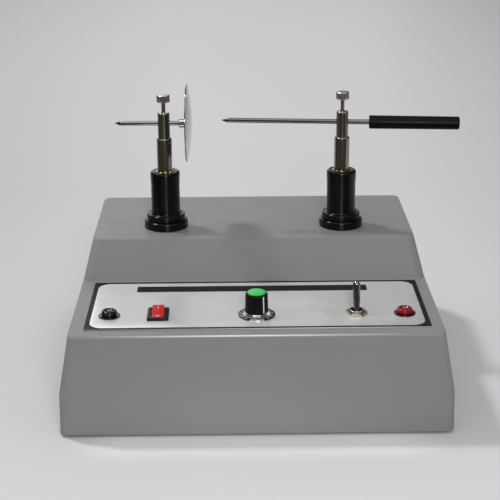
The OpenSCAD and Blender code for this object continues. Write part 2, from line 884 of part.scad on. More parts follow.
module toggle_lever() {
    ball_r = lever_ball / 2;
    neck_r = lever_neck / 2;
    tip_r = lever_tip / 2;
    tail_r = 1.3;
    tail_l = ball_r + 4;
    neck_a = acos(neck_r / ball_r);
    tail_a = acos(tail_r / ball_r);
    color([0.75, 0.75, 0.77])
    translate([toggle_x, row_y, toggle_pivot]) rotate([-lever_tilt, 0, 0])
        turned(concat([[0, -tail_l], [tail_r, -tail_l]],
                      arc([0, 0], ball_r, -tail_a, neck_a, 16),
                      [[neck_r, lever_l * 0.3], [tip_r, lever_l * 0.5]],
                      arc([0, lever_l - tip_r], tip_r, 0, 90, 8)));
}

// ---------------------------------------------------------------- stands

socket_depth = 2.6;

// Turned insulator: flange, step and a tube that opens slightly at its rim
module insulator() {
    bore = stud_dia / 2 + cutout_gap;
    base_r = insulator_base / 2;
    step_r = insulator_step / 2;
    tube_r = insulator_tube / 2;
    rim_r = tube_r + 0.35;
    base_h = 5.8;
    step_h = 10.6;
    foot_h = 12.6;
    h = insulator_h;
    pocket_r = collar_dia / 2 + running;
    turned(concat(
        [[bore, 0], [base_r - 0.5, 0], [base_r, 0.5]],
        arc([base_r - 1.6, base_h - 1.6], 1.6, 0, 90),
        [[step_r - 0.6, base_h], [step_r - 0.6, base_h + 0.5], [step_r, base_h + 1]],
        arc([step_r - 1.8, step_h - 1.8], 1.8, 0, 90),
        arc([tube_r + 2, foot_h + 0.2], 2, 270, 180),
        [[tube_r, h - 12], [rim_r, h - 4]],
        arc([rim_r - 2, h - 2], 2, 0, 90),
        [[pocket_r + 0.6, h], [pocket_r, h - 0.6], [pocket_r, h - socket_depth],
         [bore, h - socket_depth]]));
}

module left_insulator() {
    color([0.03, 0.03, 0.03]) translate([left_x, stand_y, top_z]) insulator();
}

module right_insulator() {
    color([0.03, 0.03, 0.03]) translate([right_x, stand_y, top_z]) insulator();
}

module post_collars() {
    color([0.8, 0.62, 0.3])
    at_stands() translate([0, 0, insulator_h - socket_depth])
        ring(collar_dia, post_low + 2 * running, socket_depth + 0.4);
}

// A post with its stud below, its cross-hole, and the thread for the thumbscrew above
module post(aim) {
    low_r = post_low / 2;
    high_r = post_high / 2;
    foot = insulator_h - socket_depth;
    stud_l = top_z - lug_z + stud_nut_h + 3;
    bevel = 0.5;
    difference() {
        turned([[0, -stud_l], [stud_dia / 2 - bevel, -stud_l], [stud_dia / 2, -stud_l + bevel],
                [stud_dia / 2, foot], [low_r, foot],
                [low_r, shoulder_z - bevel], [low_r - bevel, shoulder_z],
                [high_r, shoulder_z], [high_r, post_top - bevel], [high_r - bevel, post_top],
                [0, post_top]]);
        translate([0, 0, rod_z]) rotate([0, 90, -aim])
            cylinder(d = rod_dia + 2 * running, h = post_low + 2 * over, center = true);
        translate([0, 0, rod_z]) cylinder(d = stem_dia + 2 * running, h = post_top - rod_z + over);
    }
}

module left_post() {
    color([0.72, 0.68, 0.58]) translate([left_x, stand_y, top_z]) post(left_aim);
}

module right_post() {
    color([0.72, 0.68, 0.58]) translate([right_x, stand_y, top_z]) post(right_aim);
}

stud_washer_t = 1.5;
stud_washer_dia = 18;

module stud_washers() {
    color([0.8, 0.8, 0.78])
    at_stands() translate([0, 0, -wall - stud_washer_t])
        ring(stud_washer_dia, stud_dia + 2 * running, stud_washer_t);
}

lug_t = 1;
lug_dia = 12;
lug_w = 4.4;
lug_reach = 13;
lug_z = roof_under_z - stud_washer_t - lug_t;

// Ring lugs that carry the leads of the coil, one on each stud
module lead_lugs() {
    color([0.82, 0.8, 0.72])
    for (x = [left_x, right_x]) translate([x, stand_y, lug_z])
    difference() {
        union() {
            cylinder(d = lug_dia, h = lug_t);
            translate([-lug_w / 2, 0, 0]) cube([lug_w, lug_reach, lug_t]);
        }
        translate([0, 0, -over]) cylinder(d = stud_dia + 2 * running, h = lug_t + 2 * over);
    }
}

stud_nut_h = 5;
stud_nut_af = 10;

module stud_nuts() {
    color([0.8, 0.8, 0.78])
    for (x = [left_x, right_x]) translate([x, stand_y, lug_z - stud_nut_h])
        hex_nut(stud_nut_af, stud_nut_h, stud_dia + 2 * running);
}

// ---------------------------------------------------------------- thumbscrews

module screw_stem(x, raised) {
    translate([x, stand_y, stem_foot_z + raised])
        turned([[0, 0], [stem_dia / 2 - 0.5, 0], [stem_dia / 2, 0.5], [stem_dia / 2, stem_l], [0, stem_l]]);
}

module screw_head(x, raised) {
    r = thumb_dia / 2;
    bore = stem_dia / 2 + running;
    deep = thumb_h - 0.9;
    translate([x, stand_y, stem_foot_z + raised + stem_l - deep + running])
    difference() {
        turned([[bore, 0], [r - 0.4, 0], [r, 0.4], [r, thumb_h - 0.4], [r - 0.4, thumb_h],
                [0, thumb_h], [0, deep], [bore, deep]]);
        for (i = [0:knurls - 1])
            rotate([0, 0, i * 360 / knurls]) translate([r + 0.2, 0, -over])
                cylinder(r = 0.5, h = thumb_h + 2 * over, $fn = 16);
    }
}

module left_screw_stem() {
    color([0.7, 0.66, 0.6]) screw_stem(left_x, 0);
}

module left_screw_head() {
    color([0.7, 0.66, 0.6]) screw_head(left_x, 0);
}

module right_screw_stem() {
    color([0.7, 0.66, 0.6]) screw_stem(right_x, right_backed_off);
}

module right_screw_head() {
    color([0.7, 0.66, 0.6]) screw_head(right_x, right_backed_off);
}

// ---------------------------------------------------------------- electrodes

// Lay the children, which run along +X, through the cross-hole of a post
module through_post(x, aim) {
    translate([x, stand_y, rod_level]) rotate([0, 0, -aim]) children();
}

// Where the hub and the left rod end, just behind the hollow of the disc
hub_end = disc_out + dish - 2 * running;

// A rod lying along +X whose point is at its low end
module pointed_rod(from, to) {
    r = rod_dia / 2;
    tip_r = 0.25;
    translate([from, 0, 0]) rotate([0, 90, 0])
        turned([[0, 0], [tip_r, 0], [r, point_l], [r, to - from], [0, to - from]]);
}

module left_rod() {
    color([0.8, 0.8, 0.8])
    through_post(left_x, left_aim) pointed_rod(-left_reach, hub_end);
}

module disc_hub() {
    r = hub_dia / 2;
    color([0.8, 0.8, 0.8])
    through_post(left_x, left_aim) translate([hub_end - hub_l, 0, 0]) rotate([0, 90, 0])
        turned([[rod_dia / 2 + running, 0], [r - 0.4, 0], [r, 0.4], [r, hub_l],
                [rod_dia / 2 + running, hub_l]]);
}

// A dished disc: both faces are parts of spheres of one radius
module disc() {
    r = disc_dia / 2;
    sphere_r = (r * r + dish * dish) / (2 * dish);
    rim = acos(r / sphere_r);
    color([0.78, 0.8, 0.82])
    through_post(left_x, left_aim) translate([disc_out, 0, 0]) rotate([0, 90, 0])
        turned(concat(arc([0, dish - sphere_r], sphere_r, 90, rim, 12),
                      arc([0, dish - sphere_r + disc_t], sphere_r, rim, 90, 12)));
}

module needle_rod() {
    color([0.8, 0.8, 0.8])
    through_post(right_x, right_aim) pointed_rod(-needle_reach, handle_out + handle_grip);
}

module needle_handle() {
    r0 = handle_dia / 2;
    r1 = handle_end_dia / 2;
    color([0.05, 0.05, 0.05])
    through_post(right_x, right_aim) translate([handle_out, 0, 0]) rotate([0, 90, 0])
    difference() {
        turned(concat([[0, 0], [r0 - 0.6, 0], [r0, 0.6]],
                      arc([r1 - handle_round, handle_l - handle_round], handle_round, 0, 90),
                      [[0, handle_l]]));
        translate([0, 0, -over]) cylinder(d = rod_dia + 2 * running, h = handle_grip + 0.3 + over);
    }
}

// ---------------------------------------------------------------- coil

// Lay the children, which run along +Z about the origin, on the coil axis
module on_coil_axis() {
    translate([0, coil_y, coil_z]) rotate([0, 90, 0]) children();
}

// A bundle of soft iron wires packed in a hexagon and bound into one piece
module iron_core() {
    pitch = wire_dia - 0.1;
    rings = floor((core_dia - wire_dia) / (2 * pitch));
    color([0.35, 0.34, 0.33])
    on_coil_axis() {
        for (a = [-rings:rings], b = [-rings:rings])
            if (abs(a + b) <= rings)
                translate([pitch * (a + b / 2), pitch * b * sqrt(3) / 2, -core_l / 2])
                    cylinder(d = wire_dia, h = core_l, $fn = 16);
        translate([0, 0, -winding_l / 2 - cheek_t])
            cylinder(d = core_dia + 2, h = winding_l + 2 * cheek_t);
    }
}

module primary_winding() {
    color([0.72, 0.38, 0.18])
    on_coil_axis() translate([0, 0, -winding_l / 2])
        ring(primary_dia, core_dia + 2 + 2 * running, winding_l);
}

module coil_tube() {
    length = winding_l + 2 * cheek_t;
    color([0.8, 0.72, 0.5])
    on_coil_axis() translate([0, 0, -length / 2]) ring(tube_dia, tube_dia - 2 * tube_wall, length);
}

section_w = (winding_l - (sections + 1) * section_disc_t) / sections;
section_step = section_w + section_disc_t;

module secondary_sections() {
    color([0.55, 0.25, 0.12])
    on_coil_axis() for (i = [0:sections - 1])
        translate([0, 0, -winding_l / 2 + section_disc_t + i * section_step])
            ring(secondary_dia, tube_dia + 2 * running, section_w);
}

module section_discs() {
    color([0.85, 0.8, 0.68])
    on_coil_axis() for (i = [0:sections])
        translate([0, 0, -winding_l / 2 + i * section_step])
            ring(section_disc_dia, tube_dia + 2 * running, section_disc_t);
}

cheek_foot_w = 16;
cheek_foot_h = 6;
cheek_hole_y = 24;

// Put the children at the four screws that hold the cheeks down
module at_cheek_screws() {
    x = winding_l / 2 + cheek_t + (cheek_foot_w - cheek_t) / 2;
    for (s = [-1, 1], y = [-cheek_hole_y, cheek_hole_y]) translate([s * x, coil_y + y, 0]) children();
}

// Two end cheeks, each with a foot that is screwed to the base plate
module coil_cheeks() {
    cheek_h = coil_z + section_disc_dia / 2 + 2 - floor_z;
    color([0.2, 0.15, 0.12])
    difference() {
        for (s = [0, 1]) mirror([s, 0, 0]) translate([winding_l / 2, coil_y, floor_z]) {
            translate([0, -cheek_w / 2, 0]) cube([cheek_t, cheek_w, cheek_h]);
            translate([0, -cheek_w / 2, 0]) cube([cheek_foot_w, cheek_w, cheek_foot_h]);
        }
        on_coil_axis() cylinder(d = tube_dia + 2 * running, h = core_l, center = true);
        translate([0, 0, floor_z - over]) at_cheek_screws() cylinder(d = pilot_dia, h = cheek_foot_h);
    }
}

module cheek_screws() {
    color([0.7, 0.7, 0.7])
    at_cheek_screws() translate([0, 0, plate_z]) screw_up(plate_t + cheek_foot_h - 1.5);
}

// The two leads from the ends of the secondary up to the studs of the stands
module coil_leads() {
    end_x = winding_l / 2 - section_disc_t - section_w / 2;
    color([0.75, 0.1, 0.1])
    for (side = [-1, 1])
        wire([side * end_x, coil_y, coil_z + secondary_dia / 2 + 0.65],
             [side < 0 ? left_x : right_x, stand_y + lug_reach - 1.5, lug_z - 0.7], lead_dia);
}

// ---------------------------------------------------------------- driver

board_x = -56;
board_y = row_y + 16;
board_z = floor_z + board_post_h;
board_hole_in = 4;
board_nut_h = 2.4;
board_nut_af = 5.5;
board_post_dia = 6;
sink_x = 62;
sink_y = board_y;

// Put the children at the four posts of the driver board
module at_board_posts() {
    for (x = [-1, 1], y = [-1, 1])
        translate([board_x + x * (board_l / 2 - board_hole_in),
                   board_y + y * (board_w / 2 - board_hole_in), 0])
            children();
}

module driver_board() {
    color([0.1, 0.4, 0.2])
    difference() {
        translate([board_x, board_y, board_z + board_t / 2])
            cube([board_l, board_w, board_t], center = true);
        translate([0, 0, board_z - over]) at_board_posts() cylinder(d = clear_dia, h = board_t + 2 * over);
    }
}

module board_posts() {
    color([0.85, 0.85, 0.82])
    translate([0, 0, floor_z]) at_board_posts()
        ring(board_post_dia, case_screw_dia + 2 * running, board_post_h);
}

// Screws from below, through the base plate, the posts and the board
module board_screws() {
    color([0.7, 0.7, 0.7])
    at_board_posts() translate([0, 0, plate_z])
        screw_up(board_z + board_t + board_nut_h + 1 - plate_z);
}

module board_nuts() {
    color([0.8, 0.8, 0.78])
    translate([0, 0, board_z + board_t]) at_board_posts()
        hex_nut(board_nut_af, board_nut_h, case_screw_dia + 2 * running);
}

module heat_sink() {
    base_t = 4;
    fin_t = 1.6;
    fin_step = (sink_l - fin_t) / (fins - 1);
    color([0.15, 0.15, 0.16])
    translate([sink_x - sink_l / 2, sink_y - sink_d / 2, floor_z]) {
        cube([sink_l, base_t, sink_h]);
        for (i = [0:fins - 1]) translate([i * fin_step, 0, 0]) cube([fin_t, sink_d, sink_h]);
    }
}

module power_transistor() {
    color([0.1, 0.1, 0.1])
    translate([sink_x, sink_y - sink_d / 2, floor_z + sink_h - 14]) {
        translate([-8, -5, -8]) cube([16, 5, 20]);
        for (x = [-5.4, 0, 5.4]) translate([x - 0.6, -3, -14]) cube([1.2, 0.7, 6.5]);
    }
}

module capacitor() {
    r = capacitor_dia / 2;
    color([0.1, 0.15, 0.35])
    translate([board_x - board_l / 2 + 22, board_y, board_z + board_t])
        turned([[0, 0], [r, 0], [r, 2.4], [r - 0.5, 3], [r, 3.6], [r, capacitor_h - 0.6],
                [r - 0.6, capacitor_h], [0, capacitor_h]]);
}

// ---------------------------------------------------------------- nodes

in_place() case_cover();
in_place() base_plate();
in_place() feet();
in_place() foot_screws();
in_place() base_screws();
in_place() panel_plate();
in_place() black_socket();
in_place() red_socket();
in_place() black_contact();
in_place() red_contact();
in_place() socket_washers();
in_place() socket_nuts();
in_place() rocker_frame();
in_place() rocker_paddle();
in_place() rocker_tabs();
in_place() dial_plate();
in_place() pot_body();
in_place() pot_tabs();
in_place() pot_nut();
in_place() pot_shaft();
in_place() knob();
in_place() knob_cap();
in_place() knob_pointer();
in_place() toggle_body();
in_place() toggle_tabs();
in_place() toggle_nut();
in_place() toggle_back_nut();
in_place() toggle_lever();
in_place() left_insulator();
in_place() right_insulator();
in_place() post_collars();
in_place() left_post();
in_place() right_post();
in_place() stud_washers();
in_place() lead_lugs();
in_place() stud_nuts();
in_place() left_screw_stem();
in_place() left_screw_head();
in_place() right_screw_stem();
in_place() right_screw_head();
in_place() left_rod();
in_place() disc_hub();
in_place() disc();
in_place() needle_rod();
in_place() needle_handle();
in_place() iron_core();
in_place() primary_winding();
in_place() coil_tube();
in_place() secondary_sections();
in_place() section_discs();
in_place() coil_cheeks();
in_place() cheek_screws();
in_place() coil_leads();
in_place() driver_board();
in_place() board_posts();
in_place() board_screws();
in_place() board_nuts();
in_place() heat_sink();
in_place() power_transistor();
in_place() capacitor();
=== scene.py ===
# Bench induction coil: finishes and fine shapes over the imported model.
import math
import bpy
import bmesh
from mathutils import Matrix, Vector


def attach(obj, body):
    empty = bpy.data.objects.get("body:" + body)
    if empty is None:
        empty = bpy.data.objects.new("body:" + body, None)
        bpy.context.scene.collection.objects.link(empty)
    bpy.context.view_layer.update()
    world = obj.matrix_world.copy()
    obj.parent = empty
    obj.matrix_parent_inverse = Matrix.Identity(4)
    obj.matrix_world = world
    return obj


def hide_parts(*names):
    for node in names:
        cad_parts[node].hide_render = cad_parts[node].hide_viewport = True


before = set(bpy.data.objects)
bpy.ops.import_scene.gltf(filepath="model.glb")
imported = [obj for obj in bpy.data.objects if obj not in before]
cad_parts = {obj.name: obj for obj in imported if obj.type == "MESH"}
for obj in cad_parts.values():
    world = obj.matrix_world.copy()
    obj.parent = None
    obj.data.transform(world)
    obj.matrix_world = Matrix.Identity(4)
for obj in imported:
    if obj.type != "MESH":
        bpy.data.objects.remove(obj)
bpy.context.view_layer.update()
MM = 0.001

# ------------------------------------------------------------ places and sizes, in millimetres

CASE_X = -10.673
DECK_Z, PANEL_Z, TOP_Z = 77.0, 77.8, 107.0
PANEL_X, PANEL_Y, PANEL_W, PANEL_D = 0.8 + CASE_X, -67.4, 254.6, 98.2
ROW_Y = -90.0
BLACK_X, RED_X = PANEL_X - 110.3, PANEL_X + 110.3
ROCKER_X, ROCKER_Y, ROCKER_PIVOT, ROCKER_TILT = BLACK_X + 36.4, ROW_Y + 0.8, 77.5, 12.5
PADDLE_RISE, PADDLE_LEAN = 2.5, 12.5
TOGGLE_X, TOGGLE_PIVOT, TOGGLE_TILT = RED_X - 36.0, 76.5, 13.0
KNOB_X, KNOB_Z, POINTER_TURN = PANEL_X - 0.4, 80.6, -53.5
LEFT_X, RIGHT_X, STAND_Y = -71.8 + CASE_X, 72.4 + CASE_X, 37.0
WALL, WASHER_T, DIAL_T = 2.5, 1.0, 0.8
SOCKET_HOLE, SHAFT_HOLE, NECK_HOLE, STUD_HOLE = 4.1, 3.85, 6.0, 3.2
ROCKER_HOLE = (13.4, 20.8)
INSULATOR_H, POST_SEAT, ROD_UP = 47.4, 44.8, 87.2
ROD_R, ROD_BORE = 2.0, 2.05
ROD_Z = TOP_Z + ROD_UP
LEFT_AIM, RIGHT_AIM = 1.2, 5.2
HUB_END = 21.7
SCREW_Z = ROD_Z + ROD_BORE
SCREW_R, HALF_PITCH = 1.7, 0.35


def place(x, y, z, turn=0.0, tip=0.0):
    """Where a piece goes, in mm: tipped about X, then turned about Z, then moved."""
    return Matrix.Translation((x, y, z)) @ Matrix.Rotation(math.radians(turn), 4, "Z") @ \
        Matrix.Rotation(math.radians(tip), 4, "X")


def along_rod(x, aim, out):
    """Lays a turned piece, made along +Z, on the axis of an electrode rod."""
    return Matrix.Translation((x, STAND_Y, ROD_Z)) @ Matrix.Rotation(math.radians(-aim), 4, "Z") @ \
        Matrix.Translation((out, 0, 0)) @ Matrix.Rotation(math.radians(90), 4, "Y")


# ------------------------------------------------------------ materials

def shade(r, g, b):
    """An sRGB colour, 0 to 255, as Blender's linear colour."""
    return tuple(((c / 255 + 0.055) / 1.055) ** 2.4 if c > 10 else c / 255 / 12.92
                 for c in (r, g, b)) + (1.0,)


class Finish:
    """A material being put together from nodes."""

    def __init__(self, name, colour, rough, metal=0.0):
        self.m = bpy.data.materials.new(name)
        self.m.use_nodes = True
        self.tree = self.m.node_tree
        self.shader = self.tree.nodes["Principled BSDF"]
        self.shader.inputs["Base Color"].default_value = colour
        self.shader.inputs["Roughness"].default_value = rough
        self.shader.inputs["Metallic"].default_value = metal
        self.coords = self.tree.nodes.new("ShaderNodeTexCoord").outputs["Object"]
        self.heights = None

    def link(self, out, socket):
        self.tree.links.new(out, socket)

    def node(self, kind, **values):
        n = self.tree.nodes.new(kind)
        for key, value in values.items():
            setattr(n, key, value)
        return n

    def math(self, operation, a, b=0.0):
        n = self.node("ShaderNodeMath", operation=operation)
        for i, v in enumerate((a, b)):
            if isinstance(v, (int, float)):
                n.inputs[i].default_value = v
            else:
                self.link(v, n.inputs[i])
        return n.outputs[0]

    def noise(self, size_mm, detail=3.0, rough=0.55, stretch=(1, 1, 1)):
        """Noise whose grain is about size_mm, as a factor from 0 to 1."""
        spread = self.node("ShaderNodeMapping")
        spread.inputs["Scale"].default_value = stretch
        self.link(self.coords, spread.inputs["Vector"])
        n = self.node("ShaderNodeTexNoise")
        n.inputs["Scale"].default_value = 1000.0 / size_mm
        n.inputs["Detail"].default_value = detail
        n.inputs["Roughness"].default_value = rough
        self.link(spread.outputs[0], n.inputs["Vector"])
        return n.outputs["Fac"]

    def span(self, fac, low, high, out_low=0.0, out_high=1.0):
        """Stretches a factor from low..high to out_low..out_high, clamped."""
        n = self.node("ShaderNodeMapRange", clamp=True)
        for key, value in (("From Min", low), ("From Max", high), ("To Min", out_low),
                           ("To Max", out_high)):
            n.inputs[key].default_value = value
        self.link(fac, n.inputs["Value"])
        return n.outputs[0]

    def tint(self, fac, colour, amount=1.0):
        """Mixes another colour into the base colour by a factor."""
        base = self.shader.inputs["Base Color"]
        n = self.node("ShaderNodeMix", data_type="RGBA")
        if base.is_linked:
            self.link(base.links[0].from_socket, n.inputs[6])
        else:
            n.inputs[6].default_value = base.default_value
        n.inputs[7].default_value = colour
        self.link(self.math("MULTIPLY", fac, amount), n.inputs[0])
        self.link(n.outputs[2], base)

    def vary_rough(self, fac, low, high):
        self.link(self.span(fac, 0.25, 0.75, low, high), self.shader.inputs["Roughness"])

    def relief(self, height, depth_mm):
        """Adds a height, from 0 to 1, to the surface relief."""
        scaled = self.math("MULTIPLY", height, depth_mm * MM)
        self.heights = scaled if self.heights is None else self.math("ADD", self.heights, scaled)
        return self

    def axes(self, x=0.0, y=0.0, z=0.0, turn=0.0):
        """Object coordinates in mm about a point, turned about Z, as three sockets."""
        centre = self.node("ShaderNodeVectorMath", operation="SUBTRACT")
        centre.inputs[1].default_value = (x * MM, y * MM, z * MM)
        self.link(self.coords, centre.inputs[0])
        spun = self.node("ShaderNodeVectorRotate", rotation_type="Z_AXIS")
        spun.inputs["Angle"].default_value = math.radians(-turn)
        self.link(centre.outputs[0], spun.inputs["Vector"])
        scaled = self.node("ShaderNodeVectorMath", operation="SCALE")
        scaled.inputs["Scale"].default_value = 1000.0
        self.link(spun.outputs[0], scaled.inputs[0])
        parts = self.node("ShaderNodeSeparateXYZ")
        self.link(scaled.outputs[0], parts.inputs[0])
        return parts.outputs[0], parts.outputs[1], parts.outputs[2]

    def lathe(self, amount, axis="Z", turn=0.25):
        """Turning marks round an axis, which draw the highlights out along it."""
        marks = self.node("ShaderNodeTangent", direction_type="RADIAL", axis=axis)
        self.shader.inputs["Anisotropic"].default_value = amount
        self.shader.inputs["Anisotropic Rotation"].default_value = turn
        self.link(marks.outputs[0], self.shader.inputs["Tangent"])

    def done(self):
        if self.heights is not None:
            n = self.node("ShaderNodeBump")
            n.inputs["Strength"].default_value = 1.0
            n.inputs["Distance"].default_value = 1.0
            self.link(self.heights, n.inputs["Height"])
            self.link(n.outputs["Normal"], self.shader.inputs["Normal"])
        return self.m


def case_paint():
    """Satin grey, with faint specks and clouds, a painted highlight along the lower deck's front edge and
    painted light low on the front face.
    """
    f = Finish("satin_grey_paint", shade(139, 141, 138), 0.42)
    f.shader.inputs["Specular IOR Level"].default_value = 0.15
    broad = f.noise(90, 2)
    f.tint(f.span(broad, 0.35, 0.7), shade(132, 135, 132), 0.5)
    specks = f.noise(1.1, 4, 0.7)
    f.tint(f.span(specks, 0.62, 0.72), shade(158, 160, 156), 0.35)
    f.tint(f.span(f.noise(14, 5, 0.7), 0.66, 0.74), shade(120, 121, 118), 0.25)
    facing = f.node("ShaderNodeSeparateXYZ")
    f.link(f.node("ShaderNodeNewGeometry").outputs["Normal"], facing.inputs[0])
    up, ahead = facing.outputs[2], facing.outputs[1]
    x, _, z = f.axes(-17.0)
    middle = f.math("ABSOLUTE", x)
    # painted highlight: a paler line along the front edge of the lower deck, standing in for the lamp's
    # glint, most in the middle
    edge = f.math("MULTIPLY", f.math("MULTIPLY", f.span(up, 0.6, 0.68), f.span(up, 0.985, 0.95)),
                  f.math("MULTIPLY", f.span(ahead, -0.2, -0.28), f.math("LESS_THAN", z, 90.0)))
    line = f.math("MULTIPLY", f.span(middle, 118.0, 5.0), f.span(f.noise(30, 4), 0.3, 0.6, 0.8, 1.0))
    f.tint(f.math("MULTIPLY", edge, line), shade(250, 252, 251), 0.85)
    # painted light: the front face is paler low down in its middle
    low = f.math("MULTIPLY", f.span(z, 66.0, 12.0), f.span(middle, 150.0, 30.0))
    f.tint(f.math("MULTIPLY", low, f.span(ahead, -0.8, -0.95)), shade(158, 160, 159), 0.5)
    f.vary_rough(f.noise(22, 4), 0.36, 0.5)
    f.relief(f.noise(1.6, 3), 0.008).relief(f.noise(9, 2), 0.02)
    return f.done()


def plastic(name, colour, rough, grain=0.8, depth=0.006, dust=0.06, lathe=0.0, shine=0.5):
    """A moulded or turned plastic. Grain and depth are the size and height of its relief, in mm."""
    f = Finish(name, colour, rough)
    f.shader.inputs["Specular IOR Level"].default_value = shine
    if lathe:
        f.lathe(lathe)
    f.vary_rough(f.noise(6, 4), rough * (0.93 if lathe else 0.8), rough * (1.07 if lathe else 1.25))
    if dust:
        f.tint(f.span(f.noise(3, 5, 0.7), 0.55, 0.8), shade(150, 148, 144), dust)
    if depth:
        f.relief(f.noise(grain, 3), depth)
    return f.done()


def metal(name, colour, rough, streak=(1, 1, 1), depth=0.002, stain=None, lathe=0.0):
    """A bare or plated metal. Streak squeezes or stretches its grain along the three axes."""
    f = Finish(name, colour, rough, 1.0)
    if lathe:
        f.lathe(lathe)
    f.vary_rough(f.noise(4, 4, 0.55, streak), rough * 0.8, rough * 1.3)
    if stain:
        f.tint(f.span(f.noise(5, 4, 0.65, streak), 0.45, 0.75), stain, 0.6)
    if depth:
        f.relief(f.noise(0.8, 3, stretch=streak), depth)
    return f.done()


def panel_sheet():
    """Silver sheet brushed from side to side, which draws reflections out from front to back."""
    f = Finish("silver_sheet", shade(234, 235, 232), 0.42, 0.78)
    f.lathe(0.85, "X", 0.0)
    f.tint(f.span(f.noise(60, 3), 0.4, 0.7), shade(228, 230, 228), 0.5)
    f.tint(f.math("LESS_THAN", f.axes()[2], PANEL_Z - 0.12), shade(150, 151, 149), 1.0)
    f.vary_rough(f.noise(14, 4), 0.39, 0.45)
    f.relief(f.noise(0.35, 2, stretch=(0.02, 1, 1)), 0.0004)
    return f.done()


def dial_print():
    """A silver disc with a black scale round it, open at the front, with eleven marks."""
    f = Finish("printed_dial", shade(226, 226, 230), 0.2, 0.7)
    x, y, _ = f.axes(KNOB_X, ROW_Y)
    radius = f.math("SQRT", f.math("ADD", f.math("MULTIPLY", x, x), f.math("MULTIPLY", y, y)))
    turn = f.math("ARCTAN2", x, y)
    scale = f.math("MULTIPLY", f.math("GREATER_THAN", radius, 10.3),
                   f.math("LESS_THAN", f.math("ABSOLUTE", turn), math.radians(156)))
    f.tint(scale, shade(30, 30, 31))
    steps = f.math("ADD", f.math("DIVIDE", turn, math.radians(28)), 5.5)
    off = f.math("ABSOLUTE", f.math("SUBTRACT", f.math("FRACT", steps), 0.5))
    mark = f.math("LESS_THAN", f.math("MULTIPLY", off, radius), 0.62)
    band = f.math("MULTIPLY", f.math("GREATER_THAN", radius, 10.9), f.math("LESS_THAN", radius, 13.2))
    reach = f.math("LESS_THAN", f.math("ABSOLUTE", turn), math.radians(143))
    f.tint(f.math("MULTIPLY", f.math("MULTIPLY", mark, band), reach), shade(214, 214, 216))
    f.link(f.math("SUBTRACT", 0.7, f.math("MULTIPLY", scale, 0.7)), f.shader.inputs["Metallic"])
    f.relief(f.noise(0.7, 3), 0.004)
    return f.done()


def polished_disc():
    """Spun steel, bright but a little uneven."""
    f = Finish("polished_disc", shade(190, 196, 203), 0.07, 1.0)
    f.vary_rough(f.noise(4, 4), 0.05, 0.1)
    f.tint(f.span(f.noise(4.5, 4, 0.65), 0.46, 0.66), shade(160, 168, 178), 0.4)
    f.relief(f.noise(6, 3), 0.05).relief(f.noise(0.8, 3), 0.003)
    return f.done()


def winding(name, colour, pitch_mm):
    f = Finish(name, colour, 0.35, 0.5)
    x, _, _ = f.axes()
    turns = f.math("ABSOLUTE", f.math("SINE", f.math("MULTIPLY", x, math.pi / pitch_mm)))
    f.relief(turns, 0.12)
    # painted shade: the grooves between turns are tinted dark
    f.tint(f.span(turns, 0.5, 0.0), shade(60, 28, 14), 0.7)
    f.vary_rough(f.noise(5, 4), 0.28, 0.45)
    return f.done()


def laminate(name, colour, dark, rough=0.5):
    f = Finish(name, colour, rough)
    f.tint(f.span(f.noise(6, 5, 0.7, (0.2, 1, 3)), 0.35, 0.7), dark, 0.7)
    f.vary_rough(f.noise(3, 4), rough * 0.8, rough * 1.2)
    f.relief(f.noise(1.2, 3, stretch=(0.2, 1, 2)), 0.02)
    return f.done()


GREY = case_paint()
PANEL = panel_sheet()
DIAL = dial_print()
DISC_FACE = polished_disc()
COPPER = winding("copper_winding", shade(170, 88, 44), 0.9)
FINE_COPPER = winding("fine_winding", shade(150, 74, 36), 0.45)
PAPER = laminate("varnished_paper", shade(204, 184, 132), shade(176, 150, 96))
CHEEK = laminate("cheek_board", shade(74, 50, 34), shade(46, 30, 20))

INK = plastic("black_print", shade(15, 16, 15), 0.5, grain=0.4, depth=0.002, dust=0.0, shine=0.3)
BLACK = plastic("black_moulding", shade(22, 22, 23), 0.28)
TURNED_BLACK = plastic("turned_black", shade(2, 2, 2), 0.28, depth=0.0, dust=0.0, lathe=0.9,
                       shine=0.33)
KNOB_BLACK = plastic("knob_black", shade(8, 8, 10), 0.45, grain=0.5, depth=0.004, dust=0.0,
                     shine=0.25)
HANDLE_BLACK = plastic("handle_black", shade(5, 6, 6), 0.4, grain=1.2, depth=0.004, dust=0.0,
                       shine=0.16)
SOCKET_BLACK = plastic("socket_black", shade(7, 7, 7), 0.2, depth=0.0, dust=0.0, lathe=0.85)
WASHER = plastic("washer_black", shade(9, 9, 9), 0.12, depth=0.002, dust=0.0)
BEZEL = plastic("bezel_black", shade(6, 6, 9), 0.36, grain=0.5, dust=0.02, shine=0.3)
RED = plastic("red_moulding", shade(150, 0, 20), 0.18, depth=0.0, dust=0.0, lathe=0.85, shine=0.4)
PADDLE_RED = plastic("paddle_red", shade(192, 24, 32), 0.34, grain=0.6, depth=0.004, dust=0.02,
                     shine=0.4)
MARK = plastic("mark_paint", shade(232, 164, 158), 0.5)
GREEN = plastic("cap_green", shade(56, 200, 86), 0.36, grain=0.7, depth=0.004, dust=0.0)
WHITE = plastic("white_paint", shade(236, 236, 238), 0.4, grain=0.4, depth=0.004, dust=0.02)
RUBBER = plastic("foot_rubber", shade(30, 30, 30), 0.75, grain=0.6, depth=0.03, dust=0.2)
NYLON = plastic("natural_nylon", shade(224, 222, 214), 0.45)
BOARD = plastic("board_green", shade(24, 98, 56), 0.32, grain=2.5, depth=0.02)
SLEEVE = plastic("sleeve_blue", shade(28, 42, 100), 0.3)
LEAD_RED = plastic("lead_red", shade(168, 26, 24), 0.5)
BASE_DARK = plastic("base_paint", shade(52, 53, 55), 0.5, grain=1.4, depth=0.02)

